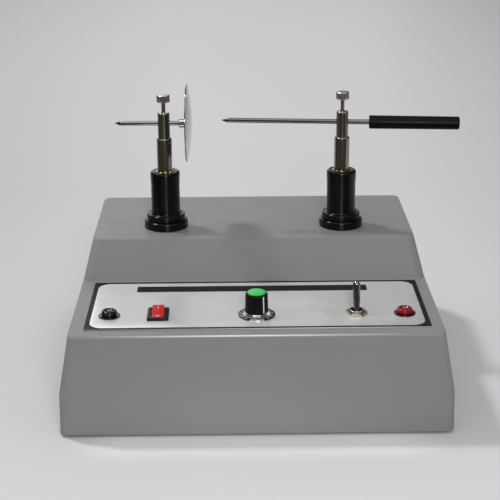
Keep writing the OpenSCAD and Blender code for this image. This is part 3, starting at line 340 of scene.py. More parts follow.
NICKEL = metal("nickel_plate", shade(186, 178, 160), 0.14, streak=(1, 1, 12),
               stain=shade(150, 138, 116))
KNURL = metal("knurled_nickel", shade(204, 192, 184), 0.3, depth=0.006, stain=shade(152, 136, 128))
POST_NICKEL = metal("post_nickel", shade(160, 154, 142), 0.16, streak=(3, 3, 0.03), depth=0.0,
                    stain=shade(116, 109, 97), lathe=0.6)
STEM_NICKEL = metal("stem_nickel", shade(196, 182, 172), 0.2, depth=0.001)
WARM_NICKEL = metal("warm_nickel", shade(206, 194, 182), 0.32, stain=shade(170, 152, 134))
NUT_NICKEL = metal("nut_nickel", shade(200, 197, 204), 0.34, depth=0.001)
HUB_CHROME = metal("hub_chrome", shade(238, 238, 240), 0.04, depth=0.0)
LEVER_CHROME = metal("lever_chrome", shade(148, 146, 163), 0.08, depth=0.0006)
ROD_CHROME = metal("rod_chrome", shade(192, 194, 198), 0.18, streak=(0.05, 1, 1), depth=0.0006)
NEEDLE_STEEL = metal("needle_steel", shade(150, 152, 156), 0.12, streak=(0.05, 1, 1), depth=0.0006)
POINT_STEEL = metal("ground_point", shade(96, 96, 98), 0.3, depth=0.003)
COLLAR = metal("collar_brass", shade(186, 156, 100), 0.16, depth=0.001, stain=shade(150, 122, 72))
CONTACT = metal("contact_plate", shade(136, 124, 110), 0.13, depth=0.001)
BRASS = metal("brass", shade(206, 170, 100), 0.22, depth=0.003, stain=shade(150, 112, 58))
STEEL = metal("zinc_steel", shade(176, 178, 178), 0.3, depth=0.004)
ALUMINIUM = metal("turned_aluminium", shade(198, 199, 200), 0.28, streak=(1, 1, 8), depth=0.003)
SINK_BLACK = metal("black_anodised", shade(40, 40, 43), 0.4, streak=(0.1, 1, 1), depth=0.006)
IRON = metal("varnished_iron", shade(92, 88, 84), 0.45, streak=(0.2, 1, 1), depth=0.01)

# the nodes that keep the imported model's own shape
NODE_FINISH = {
    "base_plate": BASE_DARK, "feet": RUBBER, "foot_screws": STEEL, "base_screws": STEEL,
    "socket_nuts": NICKEL, "rocker_tabs": BRASS, "pot_body": STEEL, "pot_tabs": BRASS,
    "pot_shaft": ALUMINIUM, "toggle_tabs": BRASS, "toggle_back_nut": NICKEL,
    "stud_washers": NICKEL, "lead_lugs": BRASS, "stud_nuts": NICKEL, "iron_core": IRON,
    "primary_winding": COPPER, "coil_tube": PAPER, "secondary_sections": FINE_COPPER,
    "section_discs": PAPER, "coil_cheeks": CHEEK, "cheek_screws": STEEL, "coil_leads": LEAD_RED,
    "driver_board": BOARD, "board_posts": NYLON, "board_screws": STEEL, "board_nuts": STEEL,
    "heat_sink": SINK_BLACK, "power_transistor": BLACK, "capacitor": SLEEVE,
}
for name, finish in NODE_FINISH.items():
    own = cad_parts[name].data.materials
    own.clear()
    own.append(finish)


# ------------------------------------------------------------ making pieces

def settle(name, bm, material, body, node=None, sharp=32.0):
    """Turns a bmesh in millimetres into a finished piece that rides on a body."""
    bmesh.ops.scale(bm, vec=(MM, MM, MM), verts=bm.verts)
    for face in bm.faces:
        face.smooth = True
    mesh = bpy.data.meshes.new(name)
    bm.to_mesh(mesh)
    bm.free()
    mesh.set_sharp_from_angle(angle=math.radians(sharp))
    mesh.materials.append(material)
    piece = bpy.data.objects.new(name, mesh)
    bpy.context.scene.collection.objects.link(piece)
    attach(piece, body)
    if node:
        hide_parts(node)
    return piece


def rounded(bm, edges, radius, segments=3):
    """Rounds the edges given, if there are any."""
    if edges:
        bmesh.ops.bevel(bm, geom=edges, offset=radius, offset_type="OFFSET", segments=segments,
                        profile=0.5, affect="EDGES", clamp_overlap=True, material=-1)


def from_node(node):
    """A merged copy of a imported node's mesh, in millimetres, with flat faces made whole."""
    bm = bmesh.new()
    bm.from_mesh(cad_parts[node].data)
    bmesh.ops.scale(bm, vec=(1000, 1000, 1000), verts=bm.verts)
    bmesh.ops.remove_doubles(bm, verts=bm.verts, dist=0.0005)
    bmesh.ops.dissolve_limit(bm, angle_limit=math.radians(0.4), verts=bm.verts, edges=bm.edges,
                             delimit=set())
    return bm


def turned(outline, steps=96, closed=False):
    """Spins an outline about Z. Its points are (radius, height) or (radius, height, rounding)."""
    bm = bmesh.new()
    rings = [bm.verts.new((p[0], 0, p[1])) for p in outline]
    pairs = list(zip(rings, rings[1:])) + ([(rings[-1], rings[0])] if closed else [])
    edges = [bm.edges.new(pair) for pair in pairs]
    bmesh.ops.spin(bm, geom=rings + edges, cent=(0, 0, 0), axis=(0, 0, 1), dvec=(0, 0, 0),
                   angle=math.tau, steps=steps, use_merge=True, use_duplicate=False)
    bmesh.ops.remove_doubles(bm, verts=bm.verts, dist=1e-4)
    bmesh.ops.recalc_face_normals(bm, faces=bm.faces)
    for point in outline:
        if len(point) > 2 and point[2]:
            ring = [e for e in bm.edges if all(
                abs(math.hypot(v.co.x, v.co.y) - point[0]) < 1e-3 and abs(v.co.z - point[1]) < 1e-3
                for v in e.verts)]
            rounded(bm, ring, point[2])
    return bm


def put(bm, matrix):
    """Moves a bmesh and hands it back."""
    bmesh.ops.transform(bm, matrix=matrix, verts=bm.verts)
    return bm


def arc(r, z, radius, start, end, steps=8):
    """Outline points on an arc about (r, z), from one angle to the other in degrees."""
    turns = [math.radians(start + (end - start) * i / steps) for i in range(steps + 1)]
    return [(r + radius * math.cos(t), z + radius * math.sin(t)) for t in turns]


def join(bm, part):
    """Adds one bmesh to another."""
    mesh = bpy.data.meshes.new("part")
    part.to_mesh(mesh)
    part.free()
    bm.from_mesh(mesh)
    bpy.data.meshes.remove(mesh)


def cut(bm, tool):
    """Takes a tool's shape out of a bmesh, both in millimetres."""
    pieces = []
    for name, shape in (("work", bm), ("tool", tool)):
        mesh = bpy.data.meshes.new(name)
        shape.to_mesh(mesh)
        shape.free()
        piece = bpy.data.objects.new(name, mesh)
        bpy.context.scene.collection.objects.link(piece)
        pieces.append(piece)
    work, tool_piece = pieces
    subtract = work.modifiers.new("cut", "BOOLEAN")
    subtract.operation, subtract.solver, subtract.object = "DIFFERENCE", "EXACT", tool_piece
    result = bmesh.new()
    result.from_object(work, bpy.context.evaluated_depsgraph_get())
    for piece in pieces:
        mesh = piece.data
        bpy.data.objects.remove(piece)
        bpy.data.meshes.remove(mesh)
    return result


def box(size):
    """A box of a width, depth and height, about the origin."""
    bm = bmesh.new()
    bmesh.ops.create_cube(bm, size=1.0)
    bmesh.ops.scale(bm, vec=size, verts=bm.verts)
    return bm


def rise(edge):
    """How much higher one end of an edge is than the other."""
    return abs(edge.verts[0].co.z - edge.verts[1].co.z)


def thread(radius, depth, start, count):
    """The crests and roots of a screw thread, as outline points going up."""
    return [(radius - (depth if i % 2 else 0.0), start + i * HALF_PITCH) for i in range(count)]


def rod_shape(radius, length, steps=64):
    """A round bar along +Z from the origin."""
    bm = bmesh.new()
    bmesh.ops.create_cone(bm, cap_ends=True, segments=steps, radius1=radius, radius2=radius,
                          depth=length)
    return put(bm, Matrix.Translation((0, 0, length / 2)))


def hexagon(flats, height, bore):
    """A nut with chamfered corners, standing on the origin."""
    corner = flats / math.sqrt(3)
    bm = bmesh.new()
    bmesh.ops.create_cone(bm, cap_ends=True, segments=6, radius1=corner, radius2=corner,
                          depth=height)
    put(bm, Matrix.Translation((0, 0, height / 2)) @ Matrix.Rotation(math.radians(30), 4, "Z"))
    bmesh.ops.subdivide_edges(bm, edges=[e for e in bm.edges if rise(e) < 0.01], cuts=11,
                              use_grid_fill=True)
    for v in bm.verts:
        out = math.hypot(v.co.x, v.co.y)
        if v.co.z > height / 2 and out > flats / 2:
            v.co.z -= (out - flats / 2) * 0.7
    return cut(bm, put(rod_shape(bore / 2, height + 2, 48), Matrix.Translation((0, 0, -1))))


# ------------------------------------------------------------ case

def openings(depth, more=()):
    """Tools that cut the lower deck's openings, and more round ones given as (x, y, z, radius)."""
    tools = bmesh.new()
    for x, y, z, radius in ((BLACK_X, ROW_Y, DECK_Z, SOCKET_HOLE), (RED_X, ROW_Y, DECK_Z, SOCKET_HOLE),
                            (KNOB_X, ROW_Y, DECK_Z, SHAFT_HOLE), (TOGGLE_X, ROW_Y, DECK_Z, NECK_HOLE),
                            *more):
        join(tools, put(rod_shape(radius, depth, 48), place(x, y, z - depth / 2)))
    slot = bmesh.ops.create_cube(tools, size=1.0)["verts"]
    bmesh.ops.scale(tools, vec=(*ROCKER_HOLE, depth), verts=slot)
    bmesh.ops.translate(tools, vec=(ROCKER_X, ROCKER_Y, DECK_Z), verts=slot)
    return tools


def case_shell():
    """The two tiers as one thin wall: upright corners rounded wide, top edges rounded tighter."""
    riser_y = -13
    levels = [[(-145, -135, 2), (145, -135, 2), (145, 135, 2), (-145, 135, 2)],
              [(-144.6, -134.6, 32), (144.6, -134.6, 32), (144.6, 134.6, 32), (-144.6, 134.6, 32)],
              [(-137, -128.4, 77), (137, -128.4, 77), (137, riser_y, 77), (137, 127, 77),
               (-137, 127, 77), (-137, riser_y, 77)],
              [(-129.5, 3, 107), (129.5, 3, 107), (129.5, 119.5, 107), (-129.5, 119.5, 107)]]
    bm = bmesh.new()
    foot, kink, deck, top = [[bm.verts.new((x + CASE_X, y, z)) for x, y, z in level]
                             for level in levels]
    for i in range(4):
        bm.faces.new((foot[i], foot[(i + 1) % 4], kink[(i + 1) % 4], kink[i]))
    bm.faces.new((kink[0], kink[1], deck[1], deck[0]))
    bm.faces.new((kink[1], kink[2], deck[3], deck[2], deck[1]))
    bm.faces.new((kink[2], kink[3], deck[4], deck[3]))
    bm.faces.new((kink[3], kink[0], deck[0], deck[5], deck[4]))
    bm.faces.new((deck[0], deck[1], deck[2], deck[5]))
    bm.faces.new((deck[5], deck[2], top[1], top[0]))
    bm.faces.new((deck[2], deck[3], top[2], top[1]))
    bm.faces.new((deck[3], deck[4], top[3], top[2]))
    bm.faces.new((deck[4], deck[5], top[0], top[3]))
    bm.faces.new(top)
    bmesh.ops.recalc_face_normals(bm, faces=bm.faces)

    def at_riser(e):
        return any(abs(v.co.y - riser_y) < 0.1 for v in e.verts)

    def brow(e):
        """Whether an edge runs round the top of either tier."""
        a, b = e.verts
        if len(e.link_faces) < 2 or e.calc_face_angle(0.0) < math.radians(20):
            return False
        if not e.is_convex or (rise(e) > 20 and max(a.co.y, b.co.y) > 4):
            return False
        return min(a.co.z, b.co.z) > DECK_Z - 0.5

    rounded(bm, [e for e in bm.edges if rise(e) > 20 and not at_riser(e)], 6.0, 6)
    riser = [e for e in bm.edges
             if rise(e) > 20 and at_riser(e) and any(v.co.z > TOP_Z - 1 for v in e.verts)]
    rounded(bm, riser, 7.0, 6)
    front = [e for e in bm.edges if brow(e) and max(v.co.y for v in e.verts) < -120]
    rounded(bm, front, 2.0, 4)
    rounded(bm, [e for e in bm.edges if brow(e) and e not in front], 3.2, 5)
    holes = openings(12, ((LEFT_X, STAND_Y, TOP_Z, STUD_HOLE), (RIGHT_X, STAND_Y, TOP_Z, STUD_HOLE)))
    bmesh.ops.solidify(bm, geom=list(bm.faces), thickness=WALL)
    piece = settle("case_shell", cut(bm, holes), GREY, "case", "case_cover", 24.0)
    even = piece.modifiers.new("even_shading", "WEIGHTED_NORMAL")
    even.keep_sharp = True
    even.weight = 80


def panel():
    bm = put(box((PANEL_W, PANEL_D, PANEL_Z - DECK_Z)), place(PANEL_X, PANEL_Y, (PANEL_Z + DECK_Z) / 2))
    rounded(bm, [e for e in bm.edges if all(v.co.z > PANEL_Z - 0.01 for v in e.verts)], 0.08, 2)
    settle("control_panel", cut(bm, openings(6)), PANEL, "case", "panel_plate")


def slab(x, y, width, depth, corner, low, high):
    """A flat sheet with round corners."""
    bm = put(box((width, depth, high - low)), place(x, y, (low + high) / 2))
    rounded(bm, [e for e in bm.edges if rise(e) > 0.01], corner, 12)
    return bm


def panel_border():
    """The printed border, and the bar over the controls."""
    low, high = PANEL_Z - 0.05, PANEL_Z + 0.03
    sheet = slab(PANEL_X, PANEL_Y, PANEL_W - 0.1, PANEL_D - 0.1, 0.3, low, high)
    inside = slab(PANEL_X, PANEL_Y - 0.1, PANEL_W - 7.2, PANEL_D - 6.2, 10.0, low - 1, high + 1)
    settle("border_print", cut(sheet, inside), INK, "case", None)
    bar = slab(CASE_X - 2.2, -34.4, 180.0, 12.2, 0.2, low, high)
    settle("title_bar", bar, INK, "case", None)


# ------------------------------------------------------------ sockets

def socket_head(colour, x, material):
    """A cup with a round brim and a funnel down to the contact."""
    r, top = 5.75, 3.8
    bm = turned([(3.05, -4.1), (4.0, -4.1), (4.0, 0.0), (r - 0.15, 0.0, 0.1), (r, 0.2, 0.1)] +
                arc(r - 1.5, top - 1.5, 1.5, 0, 90, 12) +
                [(4.1, top - 0.03, 0.05), (3.7, top - 0.6), (3.7, top - 1.1), (3.05, top - 1.2)], 96, True)
    settle(colour + "_head", put(bm, place(x, ROW_Y, PANEL_Z + WASHER_T)), material, "case",
           colour + "_socket")


def socket_contact(name, x):
    """A bored sleeve with a flared mouth and a solder pin below."""
    mouth = PANEL_Z + WASHER_T + 3.1
    bm = turned([(0, -23.4), (1.2, -23.4, 0.2), (1.2, -18.4), (3.0, -18.4, 0.3), (3.0, -0.4),
                 (3.65, -0.4), (3.65, 0, 0.1), (3.2, 0, 0.08), (2.0, -1.1, 0.1), (2.0, -14.9),
                 (0, -15.5)], 64)
    settle(name + "_sleeve", put(bm, place(x, ROW_Y, mouth)), CONTACT, "case", name)


def socket_washers():
    """One over the panel and one under the deck on each socket."""
    bm = bmesh.new()
    for x in (BLACK_X, RED_X):
        for z, inner in ((PANEL_Z, SOCKET_HOLE), (DECK_Z - WALL - WASHER_T, 3.05)):
            ring = turned([(inner, 0), (8.1, 0, 0.15), (8.1, WASHER_T, 0.3), (inner, WASHER_T, 0.1)],
                          96, True)
            join(bm, put(ring, place(x, ROW_Y, z)))
    settle("washers", bm, WASHER, "case", "socket_washers")


# ------------------------------------------------------------ rocker switch

def rocker_frame():
    """A rounded bezel over the switch's body, both open for the paddle."""
    bezel, body, well = (16, 23.2, 2.0), (13, 20.4, 14.6), (9.3, 18.6, 14.0)
    face = bezel[2] - 0.01
    bm = bmesh.new()
    for size, low, corner in ((bezel, 0.0, 1.2), (body, -14.5, 0.3)):
        part = put(box(size), Matrix.Translation((0, 0, low + size[2] / 2)))
        rounded(part, [e for e in part.edges if rise(e) > 1], corner, 5)
        if size is bezel:
            rounded(part, [e for e in part.edges if all(v.co.z > face for v in e.verts)], 0.5, 4)
        join(bm, cut(part, put(box(well), Matrix.Translation((0, 0, -2.0)))))
    rounded(bm, [e for e in bm.edges if all(v.co.z > face and abs(v.co.x) < 4.9 and
                 abs(v.co.y) < 9.4 for v in e.verts)], 0.25, 3)
    settle("switch_bezel", put(bm, place(ROCKER_X, ROCKER_Y, PANEL_Z)), BEZEL, "case",
           "rocker_frame")


def rocker_paddle():
    """The paddle, lowest in the middle of its face, with its pivot pin."""
    half = 4.45
    side = [(0, PADDLE_RISE)] + arc(0, 0, 9.1, 28.2, -9.5, 8) + [(3.5, -5.0)]
    side += [(-y, z) for y, z in reversed(side[1:])]
    bm = bmesh.new()
    face = bm.faces.new([bm.verts.new((-half, y, z)) for y, z in side])
    grown = bmesh.ops.extrude_face_region(bm, geom=[face])
    bmesh.ops.translate(bm, vec=(2 * half, 0, 0),
                        verts=[g for g in grown["geom"] if isinstance(g, bmesh.types.BMVert)])
    bmesh.ops.recalc_face_normals(bm, faces=bm.faces)
    rounded(bm, [e for e in bm.edges if all(abs(abs(v.co.x) - half) < 1e-3 for v in e.verts)
                 and abs(e.verts[0].co.x - e.verts[1].co.x) < 1e-3
                 and min(v.co.z for v in e.verts) > 0.5], 0.35, 3)
    pin = put(rod_shape(1.2, 12.4, 24), Matrix.Rotation(math.radians(90), 4, "Y") @
              Matrix.Translation((0, 0, -6.2)))
    join(bm, pin)
    settle("switch_paddle", put(bm, place(ROCKER_X, ROCKER_Y, ROCKER_PIVOT, 0, ROCKER_TILT)),
           PADDLE_RED, "rocker", "rocker_paddle", 30.0)


def paddle_mark(name, y, made):
    """A pale mark on the paddle's face, laid just over it."""
    z = PADDLE_RISE + abs(y) * math.tan(math.radians(PADDLE_LEAN))
    slope = PADDLE_LEAN if y > 0 else -PADDLE_LEAN
    seat = place(ROCKER_X, ROCKER_Y, ROCKER_PIVOT, 0, ROCKER_TILT) @ \
        Matrix.Translation((0, y, z + 0.01)) @ Matrix.Rotation(math.radians(slope), 4, "X")
    settle(name, put(made, seat), MARK, "rocker", None)


def ring_mark():
    return turned([(0.75, -0.03), (1.45, -0.03), (1.45, 0.03), (0.75, 0.03)], 40, True)


# ------------------------------------------------------------ knob

def dished(bm, count, start, depth, top, pick):
    """Presses flutes into the side of a turned piece, all but the one at the start angle."""
    half_width, fade_out = 0.30, 0.8
    for v in bm.verts:
        out = math.hypot(v.co.x, v.co.y)
        if pick(out, v.co.z):
            turn = (math.degrees(math.atan2(v.co.y, v.co.x)) - start) * count / 360.0
            near = abs(turn - round(turn))
            fade = min(1.0, max(0.0, (top - v.co.z) / fade_out))
            press = depth * max(0.0, 1.0 - (near / half_width) ** 2) * fade
            if abs(round(turn)) % count == 0:
                press = 0.0
            v.co.x *= (out - press) / out
            v.co.y *= (out - press) / out
    return bm


def knob_parts():
    """The fluted knob, a little narrower at its top, and its domed cap."""
    h, foot_r, top_r, seat = 14.9, 8.7, 8.25, 1.5
    side = [(top_r + (foot_r - top_r) * i / 6, (h - 0.8) * (1 - i / 6)) for i in range(0, 6)]
    bm = turned([(0, h - 4), (0, h - seat), (7.0, h - seat), (7.0, h - 0.05, 0.05),
                 (top_r - 0.6, h, 0.15)] + side +
                [(foot_r, 0.3), (foot_r - 0.3, 0), (7.2, 0), (7.2, 2.8), (3.05, 2.8), (3.05, h - 4)],
                360)
    dished(bm, 30, POINTER_TURN, 0.36, h - 0.4, lambda out, z: out > 8.0 and z < h - 0.1)
    settle("control_knob", put(bm, place(KNOB_X, ROW_Y, KNOB_Z)), KNOB_BLACK, "knob", "knob",
           40.0)
    dome_r, dome_z, dome_h = 6.45, 2.35, 0.55
    dome = [(dome_r * math.cos(math.radians(a)), dome_z + dome_h * math.sin(math.radians(a)))
            for a in (15, 30, 45, 60, 75)]
    cap = turned([(0, 0), (6.95, 0), (6.95, 1.5), (6.85, 1.55, 0.05), (6.8, 2.1, 0.1),
                  (dome_r, dome_z, 0.1)] + dome + [(0, dome_z + dome_h)], 96)
    settle("green_cap", put(cap, place(KNOB_X, ROW_Y, KNOB_Z + h - seat)), GREEN, "knob",
           "knob_cap")


def pointer():
    settle("pointer_line", from_node("knob_pointer"), WHITE, "knob", "knob_pointer")


def dial():
    r = 13.95
    bm = turned([(SHAFT_HOLE, 0), (r, 0), (r, DIAL_T, 0.12), (10.3, DIAL_T), (SHAFT_HOLE, DIAL_T, 0.1)],
                128, True)
    settle("dial_disc", put(bm, place(KNOB_X, ROW_Y, PANEL_Z)), DIAL, "case", "dial_plate")


def knob_nut():
    bm = put(hexagon(10, 2.4, 7.6), place(KNOB_X, ROW_Y, PANEL_Z + DIAL_T))
    settle("shaft_nut", bm, NUT_NICKEL, "case", "pot_nut")


# ------------------------------------------------------------ toggle switch

def toggle_nut():
    bm = put(hexagon(14.3, 2.5, 11.9), place(TOGGLE_X, ROW_Y, PANEL_Z, -9.0))
    settle("switch_nut", bm, WARM_NICKEL, "case", "toggle_nut")


def toggle_case():
    """The switch's black box, and its nickel neck with a rounded mouth."""
    low, top, neck_r, mouth_r = DECK_Z - 5.0, PANEL_Z + 3.9, 5.9, 3.9
    body = put(box((15, 29, 18)), place(TOGGLE_X, ROW_Y, low - 9.0))
    rounded(body, list(body.edges), 0.5, 2)
    settle("switch_box", body, BLACK, "case", "toggle_body")
    neck = turned([(mouth_r, low), (neck_r, low)] + thread(neck_r, 0.28, low + HALF_PITCH, 24) +
                  [(neck_r, top - 0.5, 0.1), (5.35, top, 0.2), (4.25, top, 0.2),
                   (mouth_r, top - 0.6, 0.1)], 96, True)
    settle("switch_neck", put(neck, place(TOGGLE_X, ROW_Y, 0)), NICKEL, "case", "toggle_body")


def toggle_lever():
    """A ball, a neck and a round-ended lever that widens at half its length."""
    ball, tail, neck, tip, length = 3.8, 1.3, 2.35, 2.8, 26.0
    neck_a, tail_a = math.degrees(math.acos(neck / ball)), math.degrees(math.acos(tail / ball))
    bm = turned([(0, -7.8), (tail, -7.8)] + arc(0, 0, ball, -tail_a, neck_a, 14) +
                [(neck, length * 0.3), (neck + 0.1, length * 0.34), (tip - 0.1, length * 0.47),
                 (tip, length * 0.5)] + arc(0, length - tip, tip, 0, 90, 12), 64)
    settle("switch_lever", put(bm, place(TOGGLE_X, ROW_Y, TOGGLE_PIVOT, 0, -TOGGLE_TILT)),
           LEVER_CHROME, "toggle", "toggle_lever", 40.0)


# ------------------------------------------------------------ stands

def insulator(side, x):
    """A foot, a step and a tube that swells a little at its rounded top, hollow for the collar."""
    base, step, tube, h = 17.8, 15.6, 11.7, INSULATOR_H
    rim, cup = tube + 0.35, 7.75
    bm = turned([(STUD_HOLE, 0), (base - 0.5, 0), (base, 0.5)] + arc(base - 1.7, 4.9, 1.7, 0, 90, 10) +
                [(step - 0.5, 6.6), (step - 0.5, 7.0, 0.1), (step, 7.4, 0.15)] +
                arc(step - 1.2, 10.5, 1.2, 0, 80, 8) + [(step - 1.6, 11.5, 0.1)] +
                arc(tube + 1.6, 13.1, 1.6, 270, 180, 10) +
                [(tube, h - 12), (tube + 0.12, h - 9), (rim, h - 4)] + arc(rim - 2, h - 2, 2, 0, 90, 10) +
                [(cup + 0.6, h, 0.15), (cup, h - 0.6), (cup, POST_SEAT), (STUD_HOLE, POST_SEAT)],
                128, True)
    settle(side + "_insulator_body", put(bm, place(x, STAND_Y, TOP_Z)), TURNED_BLACK, "case",
           side + "_insulator", 40.0)


def collars():
    """The brass rings that the posts stand in."""
    bm = bmesh.new()
    for x in (LEFT_X, RIGHT_X):
        ring = turned([(6.2, 0), (7.7, 0), (7.7, 2.75, 0.2), (6.9, 3.0, 0.15), (6.2, 3.0)], 96, True)
        join(bm, put(ring, place(x, STAND_Y, TOP_Z + POST_SEAT)))
    settle("brass_collars", bm, COLLAR, "case", "post_collars")


def post(side, x, aim):
    """A stud, a post with a shoulder, a hole across it for the rod and one down to it for the screw."""
    low, high, shoulder, top, stud = 6.15, 4.9, 74.9, 95.9, 3.0
    bm = turned([(0, -22.0), (2.6, -22.0), (stud, -21.5), (stud, POST_SEAT), (low, POST_SEAT), (low, 48.2),
                 (low, shoulder - 0.6, 0.1), (low - 0.6, shoulder, 0.15), (high, shoulder, 0.06),
                 (high, top - 0.6, 0.1), (high - 0.6, top, 0.1), (SCREW_R + 0.1, top),
                 (SCREW_R + 0.05, ROD_UP), (0, ROD_UP)], 128)
    across = put(rod_shape(ROD_BORE, 20), Matrix.Translation((0, 0, ROD_UP)) @
                 Matrix.Rotation(math.radians(-aim), 4, "Z") @
                 Matrix.Rotation(math.radians(90), 4, "Y") @ Matrix.Translation((0, 0, -10)))
    settle(side + "_terminal_post", put(cut(bm, across), place(x, STAND_Y, TOP_Z)), POST_NICKEL, "case",
           side + "_post", 30.0)


def thumbscrew(side, x, raised):
    """A threaded stem and a knurled head, backed off by so much."""
    low = SCREW_Z + raised
    r, h, deep, length, bore = 5.25, 6.0, 5.1, 20.2, SCREW_R + 0.05
    stem = turned([(0, 0), (SCREW_R - 0.5, 0), (SCREW_R, 0.5)] + thread(SCREW_R, 0.14, 0.7, 52) +
                  [(SCREW_R, length), (0, length)], 48)
    settle(side + "_screw_thread", put(stem, place(x, STAND_Y, low)), STEM_NICKEL, side + "_stem",
           side + "_screw_stem", 50.0)
    head = turned([(bore, 0), (r - 0.5, 0, 0.1), (r, 0.5), (r, 0.9), (r, 1.7), (r, 3.0), (r, 4.3),
                   (r, h - 0.9), (r, h - 0.5), (r - 0.5, h, 0.1), (0, h), (0, deep), (bore, deep)], 288)
    head = dished(head, 36, 0, 0.3, h + 5, lambda out, z: out > r - 0.1 and 0.7 < z < h - 0.7)
    settle(side + "_screw_knob", put(head, place(x, STAND_Y, low + length - deep + 0.05)), KNURL,
           side + "_thumbscrew", side + "_screw_head", 35.0)


# ------------------------------------------------------------ electrodes

def pointed_rod(name, node, body, x, aim, start, end, finish):
    """A round rod with a ground point at its left end."""
    length, ground = end - start, 4.35
    bm = turned([(0, 0), (0.22, 0.02), (0.3, 0.2), (ROD_R - 0.1, ground), (ROD_R, ground + 0.4),
                 (ROD_R, length), (0, length)], 64)
    for face in bm.faces:
        face.material_index = int(face.calc_center_median().z < ground + 0.05)
    rod = settle(name, put(bm, along_rod(x, aim, start)), finish, body, node, 40.0)
    rod.data.materials.append(POINT_STEEL)


def hub():
    length, r = 9.3, 3.9
    bm = turned([(ROD_BORE, 0), (r - 0.4, 0, 0.1), (r, 0.4, 0.1), (r, length), (ROD_BORE, length)],
                96, True)
    settle("hub_sleeve", put(bm, along_rod(LEFT_X, LEFT_AIM, HUB_END - length)), HUB_CHROME,
           "left_electrode", "disc_hub")


def disc():
    """A dished disc with a rounded rim, its hollow side to the post."""
    r, deep, thick, start = 31.6, 3.6, 1.0, 18.2
    ball = (r * r + deep * deep) / (2 * deep)
    edge = math.degrees(math.acos(r / ball))
    bm = turned(arc(0, deep - ball, ball, 90, edge + 0.45, 24) +
                arc(r - 0.42, 0.5, 0.5, -80, 80, 6) +
                arc(0, deep - ball + thick, ball, edge + 0.45, 90, 24), 160)
    settle("spark_disc", put(bm, along_rod(LEFT_X, LEFT_AIM, start)), DISC_FACE, "left_electrode",
           "disc", 40.0)


def handle():
    """A grip that narrows a little to its rounded end, bored for the needle."""
    start, length, bored, r0, r1 = 21.6, 72.4, 34.3, 5.4, 5.2
    bm = turned([(ROD_BORE, 0), (r0 - 0.6, 0, 0.1), (r0, 0.6, 0.2)] +
                [(r0 + (r1 - r0) * i / 5, 0.6 + (length - 2.2) * i / 5) for i in range(1, 5)] +
                arc(r1 - 1.6, length - 1.6, 1.6, 0, 90, 10) +
                [(0, length), (0, bored), (ROD_BORE, bored)], 96)
    settle("handle_grip", put(bm, along_rod(RIGHT_X, RIGHT_AIM, start)), HANDLE_BLACK, "needle",
           "needle_handle", 40.0)


case_shell()
panel()
panel_border()
socket_head("black", BLACK_X, SOCKET_BLACK)
socket_head("red", RED_X, RED)
socket_contact("black_contact", BLACK_X)
socket_contact("red_contact", RED_X)
socket_washers()
rocker_frame()
rocker_paddle()
paddle_mark("on_mark", 5.6, box((0.7, 3.0, 0.06)))
paddle_mark("off_mark", -5.6, ring_mark())
dial()
knob_nut()
knob_parts()
pointer()
toggle_nut()
toggle_case()
toggle_lever()
insulator("left", LEFT_X)
insulator("right", RIGHT_X)
collars()
post("left", LEFT_X, LEFT_AIM)
post("right", RIGHT_X, RIGHT_AIM)
thumbscrew("left", LEFT_X, 0.0)
thumbscrew("right", RIGHT_X, 4 * HALF_PITCH)
pointed_rod("left_point_rod", "left_rod", "left_electrode", LEFT_X, LEFT_AIM, -39.4, HUB_END,
            ROD_CHROME)
hub()
disc()
pointed_rod("needle", "needle_rod", "needle", RIGHT_X, RIGHT_AIM, -97.8, 55.6, NEEDLE_STEEL)
handle()

# ------------------------------------------------------------ stage, light and camera

def floor():
    """A pale sheet, with painted light and painted shade tinted into it."""
    bm = bmesh.new()
    bmesh.ops.create_grid(bm, x_segments=1, y_segments=1, size=30.0)
    mesh = bpy.data.meshes.new("floor")
    bm.to_mesh(mesh)
    bm.free()
    f = Finish("pale_paper", shade(217, 216, 217), 0.8)
    f.shader.inputs["Specular IOR Level"].default_value = 0.1
    f.tint(f.span(f.noise(700, 2), 0.3, 0.7), shade(212, 211, 212), 0.5)
    x, y, _ = f.axes()
    # painted light and shade: paler far behind, darker behind to both sides; side is x over the distance
    # from the camera
    far = f.span(y, 500.0, 2400.0)
    f.tint(far, shade(236, 234, 235), 0.75)
    side = f.math("DIVIDE", x, f.math("MAXIMUM", f.math("ADD", y, 1030.0), 700.0))
    back = f.span(y, -200.0, 500.0, 0.2, 1.0)
    f.tint(f.math("MULTIPLY", f.span(side, -0.05, -0.2), back), shade(190, 191, 193), 0.65)
    f.tint(f.math("MULTIPLY", f.span(side, 0.1, 0.2), back), shade(186, 187, 189), 0.4)
    f.tint(f.math("MULTIPLY", f.span(side, 0.08, 0.19), far), shade(176, 174, 175), 0.5)
    # painted light: a bright band along the front of the case, paling the shadow there
    near = f.math("MULTIPLY", f.span(y, -178.0, -146.0), f.math("LESS_THAN", y, -120.0))
    middle = f.span(f.math("ABSOLUTE", f.math("ADD", x, 10.0)), 142.0, 100.0)
    f.tint(f.math("MULTIPLY", near, middle), shade(252, 251, 252), 0.75)
    # gloss and metal reflect a dim room in place of the floor in front and to the left
    past = f.span(f.math("ADD", y, f.math("MULTIPLY", x, 0.45)), 140.0, -60.0)
    rays = f.node("ShaderNodeLightPath")
    room = f.node("ShaderNodeEmission")
    room.inputs["Color"].default_value = (0.085, 0.078, 0.07, 1)
    mixed = f.node("ShaderNodeMixShader")
    f.link(f.math("MULTIPLY", rays.outputs["Is Glossy Ray"], past), mixed.inputs[0])
    f.link(f.shader.outputs[0], mixed.inputs[1])
    f.link(room.outputs[0], mixed.inputs[2])
    f.link(mixed.outputs[0], f.tree.nodes["Material Output"].inputs["Surface"])
    mesh.materials.append(f.done())
    plane = bpy.data.objects.new("floor", mesh)
    bpy.context.scene.collection.objects.link(plane)


